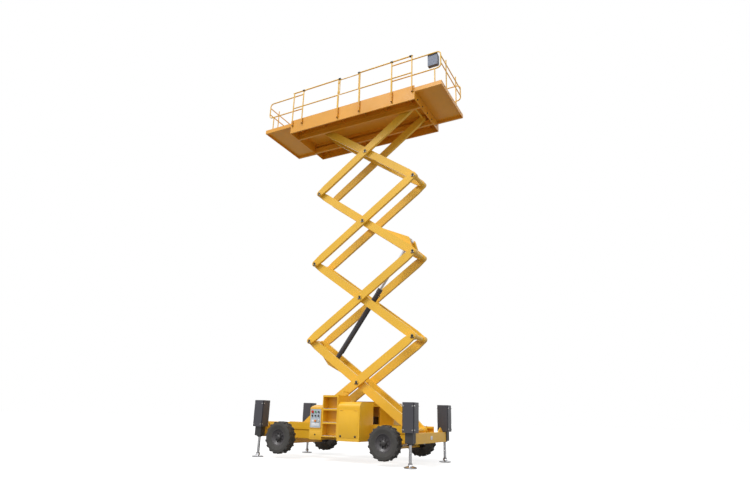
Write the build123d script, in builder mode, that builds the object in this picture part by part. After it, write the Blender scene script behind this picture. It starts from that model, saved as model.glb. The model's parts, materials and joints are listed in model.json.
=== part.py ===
from build123d import *
from math import atan2, cos, degrees, hypot, radians, sin
import os

os.makedirs("parts", exist_ok=True)

# Self-propelled scissor lift with four stabiliser jacks, raised to working height.
# Frame: +X runs from the fixed-axle end to the steered end, +Z is up, the ground is Z = 0.
# Near side is -Y.  Everything is in millimetres.

# ---------------------------------------------------------------- overall layout
left_reach = 3170        # chassis centre to the tip of the left deck extension
right_reach = 2940       # chassis centre to the tip of the right deck extension
mid_x = (left_reach - right_reach) / 2    # chassis centre, so that the machine's middle is X = 0
running_fit = 0.05       # radial clearance of a pin in its bore
seat_gap = 0.3           # gap between bolted faces of neighbouring pieces
sheet = 5                # wall of the sheet metal covers

# ---------------------------------------------------------------- wheels and axles
wheelbase = 2960
track = 2100
tyre_d = 775
tyre_w = 270
tyre_lift = 100          # tyres hang this far above the ground on the lowered jacks
rim_r = 205
rim_w = 216
rim_wall = 9
hub_r = 80
spindle_r = 35
kingpin_y = 840
kingpin_r = 22
axle_w = 130             # axle beam along X
axle_bottom = 340
wheel_z = tyre_lift + tyre_d / 2
front_x = mid_x + wheelbase / 2
rear_x = mid_x - wheelbase / 2
wheel_y = track / 2

# ---------------------------------------------------------------- scissor linkage
stages = 4
arm_length = 3830        # pin to pin
arm_angle = 35.7         # above the horizontal, as raised
stowed_angle = 3.75
arm_depth = 220
arm_width = 80
arm_end_r = 85
arm_taper = 250          # length over which an arm narrows to its end
arm_web = 10
drain_inset = 60         # drain hole from the end of its hollow
drain_r = 8
arm_flange = 12
boss_reach = 150         # solid stretch either side of a pin
pin_r = 30
tube_r = 60
inner_arm_y = 230        # inside face of an inner arm
arm_gap = 10             # between inner and outer arms
outer_arm_y = inner_arm_y + arm_width + arm_gap
outer_face_y = outer_arm_y + arm_width
pin_head_r = 62
pin_head_t = 12
base_pin_z = 765
base_pin_from_mid = 1860
base_pin_x = mid_x + base_pin_from_mid
arm_cos = cos(radians(arm_angle))
arm_sin = sin(radians(arm_angle))
arm_run = arm_length * arm_cos
arm_rise = arm_length * arm_sin
slider_x = base_pin_x - arm_run
top_pin_z = base_pin_z + stages * arm_rise
bore_r = pin_r + running_fit

# ---------------------------------------------------------------- roller tracks
roller_r = 40
roller_play = 0.5        # on the loaded side of a track
track_relief = 5         # on its unloaded side
beam_in_y = 430          # inside face of a chassis rail or deck beam
beam_out_y = 530
beam_web = 12
roller_in_y = beam_in_y + 6
roller_out_y = beam_out_y - beam_web - 6
arm_headroom = 105       # from the pin line to what an arm must pass below

# ---------------------------------------------------------------- chassis
rail_bottom = 472
rail_step_z = 690        # where the recessed lower part of a rail meets its track
rail_top = 855
rail_recess = 20
rail_left_from_mid = 2340
rail_left_x = mid_x - rail_left_from_mid
jack_x = 2125            # from the chassis centre
jack_y = 1090
jack_tube_w = 190
end_beam_w = 140
end_beam_bottom = 490
end_beam_top = 720
cross_top = base_pin_z - arm_headroom - 10
front_beam_x = mid_x + jack_x
rear_beam_x = mid_x - jack_x
rail_right_x = front_beam_x - end_beam_w / 2 - seat_gap

# ---------------------------------------------------------------- jacks
jack_rod_r = 32.5
jack_tube_bottom = 510
jack_tube_wall = 10
jack_gland_t = 40
jack_cover_x = 295
jack_cover_y = 290
jack_cover_bottom = 730
jack_cover_top = 1380
jack_pad_r = 145
jack_pad_t = 24
jack_boss_h = 60
jack_rod_top = 1050
jack_piston_r = 70

# ---------------------------------------------------------------- boxes on the chassis sides
side_y = 1130            # outer face of the boxes
box_in_y = beam_out_y + seat_gap

# ---------------------------------------------------------------- platform
deck_half = 2140         # half length of the main deck
fascia_y = 945           # outer face of the side channels
fascia_t = 8
fascia_drop = 205        # below the top pin line
fascia_rise = 245        # above the top pin line
deck_bottom = top_pin_z - fascia_drop
deck_top = top_pin_z + fascia_rise
floor_under = top_pin_z + arm_headroom
floor_t = 6
floor_edge_y = 865
ledge_z = top_pin_z + 48
ledge_t = 8
slide_gap = 5            # between the extension and what it slides past
ext_floor_z = top_pin_z + 175
ext_length = 2030
runner_out_y = fascia_y - fascia_t - 7
runner_in_y = floor_edge_y + 7
runner_wall = 6
rail_r = 21
post_r = 19
rail_top_rise = 1265     # above the deck's pins
rail_mid_rise = 670
rail_top_z = top_pin_z + rail_top_rise
rail_mid_z = top_pin_z + rail_mid_rise
sleeve_r = 28
post_y = fascia_y + sleeve_r + seat_gap
gate_left = mid_x - 390
gate_right = mid_x + 360
ext_rail_r = 19
ext_rail_y = 860
ext_rail_low = top_pin_z + 645
ext_rail_high = top_pin_z + 1225

# ---------------------------------------------------------------- lift cylinder
barrel_r = 65
lift_rod_r = 40
lift_pin_r = 35
lift_eye_r = 68
lift_eye_half = 70       # half width of both eyes
low_lug = (3000, -140)   # along and across inner arm 1, from its lower pin
high_lug = (445, 210)    # along and across inner arm 3
lug_t = 29
lug_in_y = 195
barrel_length = 2420     # lower eye to the gland
low_gusset_l = 1760      # gusset plates along the arm, and where their middles are
low_gusset_mid = 2800
high_gusset_l = 1600
high_gusset_mid = 900
gusset_root = 60
gusset_pad_l = 400


def inner_plane(stage, y):
    """Plane at a chosen Y, with x along an inner arm from its lower pin and y across it."""
    origin = (base_pin_x, y, base_pin_z + (stage - 1) * arm_rise)
    return Plane(origin=origin, x_dir=(-arm_cos, 0, arm_sin), z_dir=(0, 1, 0))


def outer_plane(stage, y):
    """Plane at a chosen Y, with x along an outer arm from its lower pin and y across it."""
    origin = (slider_x, y, base_pin_z + (stage - 1) * arm_rise)
    return Plane(origin=origin, x_dir=(arm_cos, 0, arm_sin), z_dir=(0, -1, 0))


def xz_plane(x, y, z):
    """Upright plane facing +Y whose sketch x is -X and whose y is +Z."""
    return Plane(origin=(x, y, z), x_dir=(-1, 0, 0), z_dir=(0, 1, 0))


def yz_plane(x):
    """Upright plane facing +X whose sketch coordinates are Y and Z."""
    return Plane(origin=(x, 0, 0), x_dir=(0, 1, 0), z_dir=(1, 0, 0))


def arm_outline():
    """Outline of one arm, full depth in the middle and rounded about its end pins."""
    with Locations((0, 0), (arm_length, 0)):
        Circle(arm_end_r)
    with Locations((arm_length / 2, 0)):
        Rectangle(arm_length - 2 * arm_taper, arm_depth)
    make_hull()


def arm_pockets():
    """The two hollows between the pins that make an arm a box section."""
    half_span = arm_length / 2
    pocket = half_span - boss_reach - arm_taper
    centres = (arm_taper + pocket / 2, arm_length - arm_taper - pocket / 2)
    for centre in centres:
        with Locations((centre, 0)):
            Rectangle(pocket, arm_depth - 2 * arm_flange)


def arm_drains():
    """Small holes that drain the two hollows of an arm."""
    for place in (arm_taper + drain_inset, arm_length - arm_taper - drain_inset):
        with Locations((place, 0)):
            Circle(drain_r)


# ================================================================ scissor frames
for stage in range(1, stages + 1):
    # Inner frame: two box arms, cross tubes at both ends.
    with BuildPart() as inner_frame:
        with BuildSketch(inner_plane(stage, inner_arm_y)):
            arm_outline()
        extrude(amount=arm_width)
        with BuildSketch(inner_plane(stage, inner_arm_y + arm_web)):
            arm_pockets()
        extrude(amount=arm_width - 2 * arm_web, mode=Mode.SUBTRACT)
        with BuildSketch(inner_plane(stage, inner_arm_y)):
            arm_drains()
        extrude(amount=arm_web, mode=Mode.SUBTRACT)
        with BuildSketch(inner_plane(stage, 0)):
            with Locations((0, 0), (arm_length, 0)):
                Circle(tube_r)
        extrude(amount=inner_arm_y)
        if stage == 1:
            # Gusset under the arm that carries the foot of the lift cylinder.
            with BuildSketch(inner_plane(stage, lug_in_y)):
                with Locations(low_lug):
                    Circle(lift_eye_r)
                with Locations((low_gusset_mid, 0)):
                    Rectangle(low_gusset_l, gusset_root)
                make_hull()
            extrude(amount=lug_t)
            with BuildSketch(inner_plane(stage, lug_in_y)):
                with Locations((low_lug[0], -arm_depth / 4)):
                    Rectangle(gusset_pad_l, arm_depth / 3)
            extrude(amount=inner_arm_y - lug_in_y)
            with BuildSketch(inner_plane(stage, 0)):
                with Locations(low_lug):
                    Circle(lift_pin_r)
            extrude(amount=lug_in_y)
        if stage == 3:
            # Gusset above the arm that takes the rod; its pin is in two halves.
            with BuildSketch(inner_plane(stage, lug_in_y)):
                with Locations(high_lug):
                    Circle(lift_eye_r)
                with Locations((high_gusset_mid, 0)):
                    Rectangle(high_gusset_l, gusset_root)
                make_hull()
            extrude(amount=lug_t)
            with BuildSketch(inner_plane(stage, lug_in_y)):
                with Locations((high_lug[0], arm_depth / 4)):
                    Rectangle(gusset_pad_l, arm_depth / 3)
            extrude(amount=inner_arm_y - lug_in_y)
            with BuildSketch(inner_plane(stage, lift_eye_half + 0.5)):
                with Locations(high_lug):
                    Circle(lift_pin_r)
            extrude(amount=lug_in_y - lift_eye_half)
        if stage == stages:
            # Stub axles and rollers that run in the deck's tracks.
            with BuildSketch(inner_plane(stage, inner_arm_y + arm_width)):
                with Locations((arm_length, 0)):
                    Circle(pin_r)
            extrude(amount=roller_out_y - inner_arm_y - arm_width)
            with BuildSketch(inner_plane(stage, roller_in_y)):
                with Locations((arm_length, 0)):
                    Circle(roller_r)
            extrude(amount=roller_out_y - roller_in_y)
        with BuildSketch(inner_plane(stage, 0)):
            bores = [(0, 0), (arm_length / 2, 0)]
            if stage < stages:
                bores.append((arm_length, 0))
            with Locations(*bores):
                Circle(bore_r)
        extrude(amount=inner_arm_y + arm_width, mode=Mode.SUBTRACT)
        mirror(about=Plane.XZ)
    name = f"inner_arms_{stage}"
    inner_frame.part.label = name
    export_step(inner_frame.part, f"parts/{name}.step")

    # Outer frame: two box arms, carrying every pin of the linkage.
    with BuildPart() as outer_frame:
        with BuildSketch(outer_plane(stage, -outer_arm_y)):
            arm_outline()
        extrude(amount=arm_width)
        with BuildSketch(outer_plane(stage, -outer_arm_y - arm_web)):
            arm_pockets()
        extrude(amount=arm_width - 2 * arm_web, mode=Mode.SUBTRACT)
        with BuildSketch(outer_plane(stage, -outer_arm_y)):
            arm_drains()
        extrude(amount=arm_web, mode=Mode.SUBTRACT)
        # Through shafts at both ends, stub pins at the middle.
        with BuildSketch(outer_plane(stage, 0)):
            with Locations((0, 0), (arm_length, 0)):
                Circle(pin_r)
        extrude(amount=outer_arm_y)
        with BuildSketch(outer_plane(stage, -inner_arm_y)):
            with Locations((arm_length / 2, 0)):
                Circle(pin_r)
        extrude(amount=outer_arm_y - inner_arm_y)
        # Pin heads show on the outside of each joint that ends there.
        heads = [(arm_length / 2, 0)]
        if stage > 1:
            heads.append((0, 0))
        if stage < stages:
            heads.append((arm_length, 0))
        with BuildSketch(outer_plane(stage, -outer_face_y)):
            with Locations(*heads):
                Circle(pin_head_r)
        extrude(amount=pin_head_t)
        if stage == 1:
            # Roller on its own stub axle, bolted against the arm.
            with BuildSketch(outer_plane(stage, -outer_face_y - seat_gap)):
                Circle(pin_r)
            extrude(amount=roller_out_y - outer_face_y - seat_gap)
            with BuildSketch(outer_plane(stage, -roller_in_y)):
                Circle(roller_r)
            extrude(amount=roller_out_y - roller_in_y)
        if stage == stages:
            with BuildSketch(outer_plane(stage, -outer_face_y)):
                with Locations((arm_length, 0)):
                    Circle(pin_r)
            extrude(amount=beam_out_y - beam_web - seat_gap - outer_face_y)
        mirror(about=Plane.XZ)
    name = f"outer_arms_{stage}"
    outer_frame.part.label = name
    export_step(outer_frame.part, f"parts/{name}.step")

# ================================================================ lift cylinder
low_x = base_pin_x - low_lug[0] * arm_cos + low_lug[1] * arm_sin
low_z = base_pin_z + low_lug[0] * arm_sin + low_lug[1] * arm_cos
high_x = base_pin_x - high_lug[0] * arm_cos + high_lug[1] * arm_sin
high_z = base_pin_z + 2 * arm_rise + high_lug[0] * arm_sin + high_lug[1] * arm_cos
lift_length = hypot(high_x - low_x, high_z - low_z)
lift_angle = degrees(atan2(high_z - low_z, high_x - low_x))
lift_cos = cos(radians(lift_angle))
lift_sin = sin(radians(lift_angle))
lift_plane = Plane(origin=(low_x, 0, low_z), x_dir=(lift_cos, 0, lift_sin), z_dir=(0, -1, 0))
tail_length = 90         # solid neck between the lower eye and the barrel
head_length = 120        # gland at the open end
bore_from = 130
rod_length = 2520        # inner end to the eye
lift_axis = Axis((low_x, 0, low_z), (lift_cos, 0, lift_sin))

with BuildPart() as lift_barrel:
    with BuildSketch(lift_plane):
        with BuildLine():
            Polyline(
                (tail_length / 2, 0),
                (tail_length / 2, barrel_r - 12),
                (tail_length, barrel_r),
                (barrel_length - head_length, barrel_r),
                (barrel_length - head_length, barrel_r + 9),
                (barrel_length, barrel_r + 9),
                (barrel_length, 0),
                close=True,
            )
        make_face()
    revolve(axis=lift_axis)
    with BuildSketch(lift_plane.offset(-lift_eye_half)):
        Circle(lift_eye_r)
    extrude(amount=2 * lift_eye_half)
    # Bore for the rod, from the rear port to the gland.
    with BuildSketch(lift_plane):
        with Locations(((bore_from + barrel_length) / 2, (lift_rod_r + running_fit) / 2)):
            Rectangle(barrel_length - bore_from, lift_rod_r + running_fit)
    revolve(axis=lift_axis, mode=Mode.SUBTRACT)
    with BuildSketch(lift_plane.offset(-lift_eye_half)):
        Circle(lift_pin_r + running_fit)
    extrude(amount=2 * lift_eye_half, mode=Mode.SUBTRACT)
lift_barrel.part.label = "lift_barrel"
export_step(lift_barrel.part, "parts/lift_barrel.step")

with BuildPart() as lift_rod:
    with BuildSketch(lift_plane):
        with Locations((lift_length - rod_length / 2, lift_rod_r / 2)):
            Rectangle(rod_length, lift_rod_r)
    revolve(axis=lift_axis)
    # The eye is filled by its own length of pin, flush with both faces.
    with BuildSketch(lift_plane.offset(-lift_eye_half)):
        with Locations((lift_length, 0)):
            Circle(lift_eye_r)
    extrude(amount=2 * lift_eye_half)
lift_rod.part.label = "lift_rod"
export_step(lift_rod.part, "parts/lift_rod.step")

# ================================================================ chassis
track_floor = base_pin_z - roller_r - roller_play
track_roof = base_pin_z + roller_r + track_relief
bracket_t = 30
bracket_in_y = inner_arm_y + arm_width + 25
bracket_r = 80
cross_w = 110
eye_y = 775
eye_base = 300
eye_h = 110
eye_t = 25
eye_bore_r = 32
eye_round = 45           # radius of the eye plate about its bore
foot_w = 2 * bracket_r + 60
rail_core_y = beam_in_y + rail_recess      # inside face of a rail's lower box

with BuildPart() as side_rails:
    # Lower box and track floor, web and track roof of each rail, as three bars.
    with BuildSketch(yz_plane(rail_left_x)):
        with BuildLine():
            Polyline(
                (rail_core_y, rail_bottom),
                (beam_out_y - rail_recess, rail_bottom),
                (beam_out_y - rail_recess, rail_step_z),
                (beam_out_y, rail_step_z),
                (beam_out_y, track_floor),
                (beam_in_y, track_floor),
                (beam_in_y, rail_step_z),
                (rail_core_y, rail_step_z),
                close=True,
            )
        make_face()
        with Locations((beam_out_y - beam_web / 2, (track_floor + track_roof) / 2)):
            Rectangle(beam_web, track_roof - track_floor - 2 * seat_gap)
        with Locations(((beam_in_y + beam_out_y) / 2, (track_roof + rail_top) / 2)):
            Rectangle(beam_out_y - beam_in_y, rail_top - track_roof)
    extrude(amount=rail_right_x - rail_left_x)
    mirror(about=Plane.XZ)
side_rails.part.label = "side_rails"
export_step(side_rails.part, "parts/side_rails.step")

# (X, width along X, top) of each member between the rails, all below the arms.
cross_members_at = (
    (rear_beam_x, end_beam_w, cross_top),
    (mid_x - wheelbase / 2, cross_w, cross_top),
    (mid_x - 420, cross_w, cross_top),
    (mid_x + 640, cross_w, cross_top),
    (mid_x + wheelbase / 2, cross_w, cross_top),
    (base_pin_x, foot_w, cross_top),
)
with BuildPart() as cross_members:
    for x, width, top in cross_members_at:
        with BuildSketch(Plane.XY.offset(end_beam_bottom)):
            with Locations((x, 0)):
                Rectangle(width, 2 * (rail_core_y - seat_gap))
        extrude(amount=top - end_beam_bottom)
cross_members.part.label = "cross_members"
export_step(cross_members.part, "parts/cross_members.step")

# Feet of the scissor: two plates and a shaft on the wide cross member.
with BuildPart() as scissor_feet:
    with BuildSketch(xz_plane(base_pin_x, bracket_in_y, base_pin_z)):
        Circle(bracket_r)
        with Locations((0, cross_top + seat_gap - base_pin_z + 10)):
            Rectangle(foot_w, 20)
        make_hull()
    extrude(amount=bracket_t)
    with BuildSketch(xz_plane(base_pin_x, 0, base_pin_z)):
        Circle(pin_r)
    extrude(amount=bracket_in_y + bracket_t)
    mirror(about=Plane.XZ)
scissor_feet.part.label = "scissor_feet"
export_step(scissor_feet.part, "parts/scissor_feet.step")

# (X, inner end) of each end beam's half; the rails pass through the rear beam.
beam_halves = ((front_beam_x, 0), (rear_beam_x, beam_out_y + seat_gap))
with BuildPart() as end_beams:
    beam_end_y = jack_y - jack_tube_w / 2 - seat_gap
    for beam_x, inner_end in beam_halves:
        with BuildSketch(Plane.XY.offset(end_beam_bottom)):
            with Locations((beam_x, (inner_end + beam_end_y) / 2)):
                Rectangle(end_beam_w, beam_end_y - inner_end)
        extrude(amount=end_beam_top - end_beam_bottom)
        # Lashing eye on top.
        with BuildSketch(yz_plane(beam_x - eye_t / 2)):
            with Locations((eye_y, end_beam_top + eye_h - eye_round)):
                Circle(eye_round)
            with Locations((eye_y, end_beam_top - 5)):
                Rectangle(eye_base, 10)
            make_hull()
            with Locations((eye_y, end_beam_top + eye_h - eye_round)):
                Circle(eye_bore_r, mode=Mode.SUBTRACT)
        extrude(amount=eye_t)
    mirror(about=Plane.XZ)
end_beams.part.label = "end_beams"
export_step(end_beams.part, "parts/end_beams.step")

# ================================================================ axles
axle_top = rail_bottom - seat_gap
yoke_reach = 58          # yoke past the kingpin
yoke_t = 40
yoke_half_h = 148        # kingpin yoke above and below the wheel centre
yoke_in_y = kingpin_y - 140
ear_gap = 1

with BuildPart() as front_axle:
    # Straight beam below the rails, then a fork around each kingpin.
    with BuildSketch(Plane.XY.offset(axle_bottom)):
        with Locations((front_x, (kingpin_y - 100) / 2)):
            Rectangle(axle_w, kingpin_y - 100)
    extrude(amount=axle_top - axle_bottom)
    with BuildSketch(Plane.XY.offset(wheel_z - yoke_half_h)):
        with Locations((front_x, (yoke_in_y + kingpin_y) / 2)):
            Rectangle(axle_w, kingpin_y - yoke_in_y)
        with Locations((front_x, kingpin_y)):
            Circle(yoke_reach)
    extrude(amount=2 * yoke_half_h)
    with BuildSketch(Plane.XY.offset(wheel_z - yoke_half_h + yoke_t)):
        with Locations((front_x, kingpin_y + yoke_reach / 2 - 50)):
            Rectangle(2 * axle_w, yoke_reach + 100)
    extrude(amount=2 * (yoke_half_h - yoke_t), mode=Mode.SUBTRACT)
    with BuildSketch(Plane.XY.offset(wheel_z - yoke_half_h)):
        with Locations((front_x, kingpin_y)):
            Circle(kingpin_r + running_fit)
    extrude(amount=2 * yoke_half_h, mode=Mode.SUBTRACT)
    mirror(about=Plane.XZ)
front_axle.part.label = "front_axle"
export_step(front_axle.part, "parts/front_axle.step")

spindle_end_y = wheel_y + 78
drum_r = 110
with BuildPart() as rear_axle:
    with BuildSketch(Plane.XY.offset(axle_bottom)):
        with Locations((rear_x, (kingpin_y - 60) / 2)):
            Rectangle(axle_w, kingpin_y - 60)
    extrude(amount=axle_top - axle_bottom)
    # Final drive drum and spindle of each driven wheel.
    with BuildSketch(yz_plane(rear_x)):
        with BuildLine():
            Polyline(
                (kingpin_y - 130, wheel_z),
                (kingpin_y - 130, wheel_z + drum_r - 20),
                (kingpin_y - 110, wheel_z + drum_r),
                (kingpin_y + 80, wheel_z + drum_r),
                (kingpin_y + 100, wheel_z + drum_r - 20),
                (kingpin_y + 100, wheel_z + spindle_r),
                (spindle_end_y, wheel_z + spindle_r),
                (spindle_end_y, wheel_z),
                close=True,
            )
        make_face()
    revolve(axis=Axis((rear_x, 0, wheel_z), (0, 1, 0)))
    mirror(about=Plane.XZ)
rear_axle.part.label = "rear_axle"
export_step(rear_axle.part, "parts/rear_axle.step")

# ================================================================ steering
arm_reach = 200          # kingpin to tie rod, along X
arm_inset = 40           # tie rod ends inboard of the kingpins
arm_plate_z = 395
arm_plate_t = 20
rod_end_r = 26
tie_r = 16
tie_z = arm_plate_z + arm_plate_t + seat_gap + rod_end_r
steer_barrel_r = 38
steer_barrel_half = 220
tie_y = kingpin_y - arm_inset
tie_x = front_x + arm_reach
knuckle_r = 46
knuckle_half_h = yoke_half_h - yoke_t - ear_gap

for side, name in ((-1, "knuckle_near"), (1, "knuckle_far")):
    with BuildPart() as knuckle:
        with BuildSketch(Plane.XY.offset(wheel_z - knuckle_half_h)):
            with Locations((front_x, side * kingpin_y)):
                Circle(knuckle_r)
        extrude(amount=2 * knuckle_half_h)
        with BuildSketch(Plane.XY.offset(wheel_z - yoke_half_h)):
            with Locations((front_x, side * kingpin_y)):
                Circle(kingpin_r)
        extrude(amount=2 * yoke_half_h)
        # Spindle, with a shoulder against the hub.
        with BuildSketch(Plane(origin=(front_x, side * kingpin_y, wheel_z), x_dir=(1, 0, 0), z_dir=(0, side, 0))):
            Circle(spindle_r)
        extrude(amount=spindle_end_y - kingpin_y)
        with BuildSketch(Plane(origin=(front_x, side * kingpin_y, wheel_z), x_dir=(1, 0, 0), z_dir=(0, side, 0))):
            Circle(spindle_r + 20)
        extrude(amount=120)
        # Steering arm, forwards to the tie rod.
        with BuildSketch(Plane.XY.offset(arm_plate_z)):
            with Locations((front_x, side * kingpin_y)):
                Circle(knuckle_r)
            with Locations((tie_x, side * tie_y)):
                Circle(rod_end_r)
            make_hull()
        extrude(amount=arm_plate_t)
    knuckle.part.label = name
    export_step(knuckle.part, f"parts/{name}.step")

with BuildPart() as tie_rod:
    with BuildSketch(Plane(origin=(tie_x, 0, tie_z), x_dir=(1, 0, 0), z_dir=(0, 1, 0))):
        Circle(tie_r)
    extrude(amount=tie_y)
    with BuildSketch(Plane.XY.offset(tie_z - rod_end_r)):
        with Locations((tie_x, tie_y)):
            Circle(rod_end_r)
    extrude(amount=2 * rod_end_r)
    mirror(about=Plane.XZ)
tie_rod.part.label = "tie_rod"
export_step(tie_rod.part, "parts/tie_rod.step")

with BuildPart() as steering_cylinder:
    with BuildSketch(Plane(origin=(tie_x, 0, tie_z), x_dir=(1, 0, 0), z_dir=(0, 1, 0))):
        Circle(steer_barrel_r)
    extrude(amount=steer_barrel_half)
    # Clamp plates back to the axle beam.
    strap_w = tie_x - front_x - axle_w / 2 - seat_gap
    with BuildSketch(Plane(origin=(tie_x - strap_w / 2, 110, tie_z), x_dir=(1, 0, 0), z_dir=(0, 1, 0))):
        Rectangle(strap_w, steer_barrel_r)
    extrude(amount=30)
    with BuildSketch(Plane(origin=(tie_x, 0, tie_z), x_dir=(1, 0, 0), z_dir=(0, 1, 0))):
        Circle(tie_r + running_fit)
    extrude(amount=steer_barrel_half, mode=Mode.SUBTRACT)
    mirror(about=Plane.XZ)
steering_cylinder.part.label = "steering_cylinder"
export_step(steering_cylinder.part, "parts/steering_cylinder.step")

# ================================================================ wheels
# (name, wheel centre X, side) of each corner.
corners = (
    ("front_near", front_x, -1),
    ("front_far", front_x, 1),
    ("rear_near", rear_x, -1),
    ("rear_far", rear_x, 1),
)
tyre_r = tyre_d / 2
tread_half = tyre_w / 2 - 22
lug_h = 20               # height of the tread blocks
lugs_a_side = 17
lug_half_w = 24
lug_lean = 34            # outer end of a block round the tread from its inner end
block_in_y = 8
block_out_y = tyre_w / 2 - 11
tread_r = tyre_r - lug_h
shoulder_r = tread_r - 14
lug_sink = 8             # root of a block inside the carcass
lug_top = (tyre_r**2 - (lug_half_w + lug_lean / 2) ** 2) ** 0.5
sidewall_r = (tyre_r + rim_r) / 2
disc_t = 14
disc_y = 40              # disc outside the wheel's middle plane
hub_in_y = -70           # inner end of the hub

for name, x, side in corners:
    centre = Plane(origin=(x, side * wheel_y, wheel_z), x_dir=(0, side, 0), z_dir=(side, 0, 0))
    axle_line = Axis((x, 0, wheel_z), (0, 1, 0))
    with BuildPart() as tyre:
        with BuildSketch(centre):
            with BuildLine():
                Polyline(
                    (-rim_w / 2, rim_r + seat_gap),
                    (-tyre_w / 2, sidewall_r),
                    (-tyre_w / 2 + 6, shoulder_r),
                    (-tread_half, tread_r),
                    (tread_half, tread_r),
                    (tyre_w / 2 - 6, shoulder_r),
                    (tyre_w / 2, sidewall_r),
                    (rim_w / 2, rim_r + seat_gap),
                    close=True,
                )
            make_face()
        revolve(axis=axle_line)
        # Leaning tread blocks, the two rows half a pitch apart.
        for row in (-1, 1):
            blocks = []
            for number in range(lugs_a_side):
                turn = radians((number + row / 4) * 360 / lugs_a_side)
                out = (cos(turn), 0, sin(turn))
                root = tread_r - lug_sink
                foot = (x + root * out[0], side * wheel_y, wheel_z + root * out[2])
                blocks.append(Plane(origin=foot, x_dir=(0, side, 0), z_dir=out))
            with BuildSketch(*blocks):
                with BuildLine():
                    Polyline(
                        (row * block_in_y, -lug_lean / 2 - lug_half_w),
                        (row * block_out_y, lug_lean / 2 - lug_half_w),
                        (row * block_out_y, lug_lean / 2 + lug_half_w),
                        (row * block_in_y, -lug_lean / 2 + lug_half_w),
                        close=True,
                    )
                make_face()
            extrude(amount=lug_top - tread_r + lug_sink)
    tyre.part.label = f"tyre_{name}"
    export_step(tyre.part, f"parts/tyre_{name}.step")

    with BuildPart() as rim:
        with BuildSketch(centre):
            with BuildLine():
                Polyline(
                    (-rim_w / 2, rim_r),
                    (rim_w / 2, rim_r),
                    (rim_w / 2, rim_r - rim_wall),
                    (disc_y + disc_t + 30, rim_r - 3 * rim_wall),
                    (disc_y + disc_t, hub_r + 40),
                    (disc_y + disc_t, hub_r),
                    (disc_y + disc_t + 24, hub_r - 8),
                    (disc_y + disc_t + 24, spindle_r + running_fit),
                    (hub_in_y, spindle_r + running_fit),
                    (hub_in_y, hub_r),
                    (disc_y, hub_r),
                    (disc_y, hub_r + 40),
                    (disc_y + 30, rim_r - 3 * rim_wall - 12),
                    (disc_y + 30, rim_r - rim_wall),
                    (-rim_w / 2, rim_r - rim_wall),
                    close=True,
                )
            make_face()
        revolve(axis=axle_line)
    rim.part.label = f"rim_{name}"
    export_step(rim.part, f"parts/rim_{name}.step")

# ================================================================ jacks
# (name, side along X, side along Y) of each jack.
jacks = (
    ("front_near", 1, -1),
    ("front_far", 1, 1),
    ("rear_near", -1, -1),
    ("rear_far", -1, 1),
)
jack_places = [(mid_x + sx * jack_x, sy * jack_y) for _, sx, sy in jacks]
tube_top = jack_cover_top - sheet - seat_gap

with BuildPart() as jack_tubes:
    for place in jack_places:
        with BuildSketch(Plane.XY.offset(jack_tube_bottom)):
            with Locations(place):
                RectangleRounded(jack_tube_w, jack_tube_w, 14)
        extrude(amount=tube_top - jack_tube_bottom)
        with BuildSketch(Plane.XY.offset(jack_tube_bottom + jack_gland_t)):
            with Locations(place):
                Rectangle(jack_tube_w - 2 * jack_tube_wall, jack_tube_w - 2 * jack_tube_wall)
        extrude(amount=tube_top - jack_tube_bottom, mode=Mode.SUBTRACT)
        with BuildSketch(Plane.XY.offset(jack_tube_bottom)):
            with Locations(place):
                Circle(jack_rod_r + running_fit)
        extrude(amount=jack_gland_t, mode=Mode.SUBTRACT)
jack_tubes.part.label = "jack_tubes"
export_step(jack_tubes.part, "parts/jack_tubes.step")

with BuildPart() as jack_covers:
    for place in jack_places:
        with BuildSketch(Plane.XY.offset(jack_cover_bottom)):
            with Locations(place):
                RectangleRounded(jack_cover_x, jack_cover_y, 30)
        extrude(amount=jack_cover_top - jack_cover_bottom)
        with BuildSketch(Plane.XY.offset(jack_cover_bottom)):
            with Locations(place):
                Rectangle(jack_cover_x - 2 * sheet, jack_cover_y - 2 * sheet)
        extrude(amount=jack_cover_top - jack_cover_bottom - sheet, mode=Mode.SUBTRACT)
jack_covers.part.label = "jack_covers"
export_step(jack_covers.part, "parts/jack_covers.step")

for (name, _, _), place in zip(jacks, jack_places):
    with BuildPart() as jack_leg:
        with BuildSketch(Plane(origin=(place[0], place[1], 0), x_dir=(1, 0, 0), z_dir=(0, -1, 0))):
            with BuildLine():
                Polyline(
                    (0, 0),
                    (jack_pad_r - 8, 0),
                    (jack_pad_r, 8),
                    (jack_pad_r, jack_pad_t),
                    (jack_rod_r + 22, jack_pad_t + jack_boss_h * 0.5),
                    (jack_rod_r + 14, jack_pad_t + jack_boss_h),
                    (jack_rod_r, jack_pad_t + jack_boss_h),
                    (jack_rod_r, jack_rod_top - 40),
                    (jack_piston_r, jack_rod_top - 40),
                    (jack_piston_r, jack_rod_top),
                    (0, jack_rod_top),
                    close=True,
                )
            make_face()
        revolve(axis=Axis((place[0], place[1], 0), (0, 0, 1)))
    jack_leg.part.label = f"jack_leg_{name}"
    export_step(jack_leg.part, f"parts/jack_leg_{name}.step")

# ================================================================ boxes on the near side
box_left = mid_x - 560
box_right = mid_x - 212
box_bottom = 490
box_top = 1290
box_front_slope = 60     # the top falls towards the operator

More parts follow.
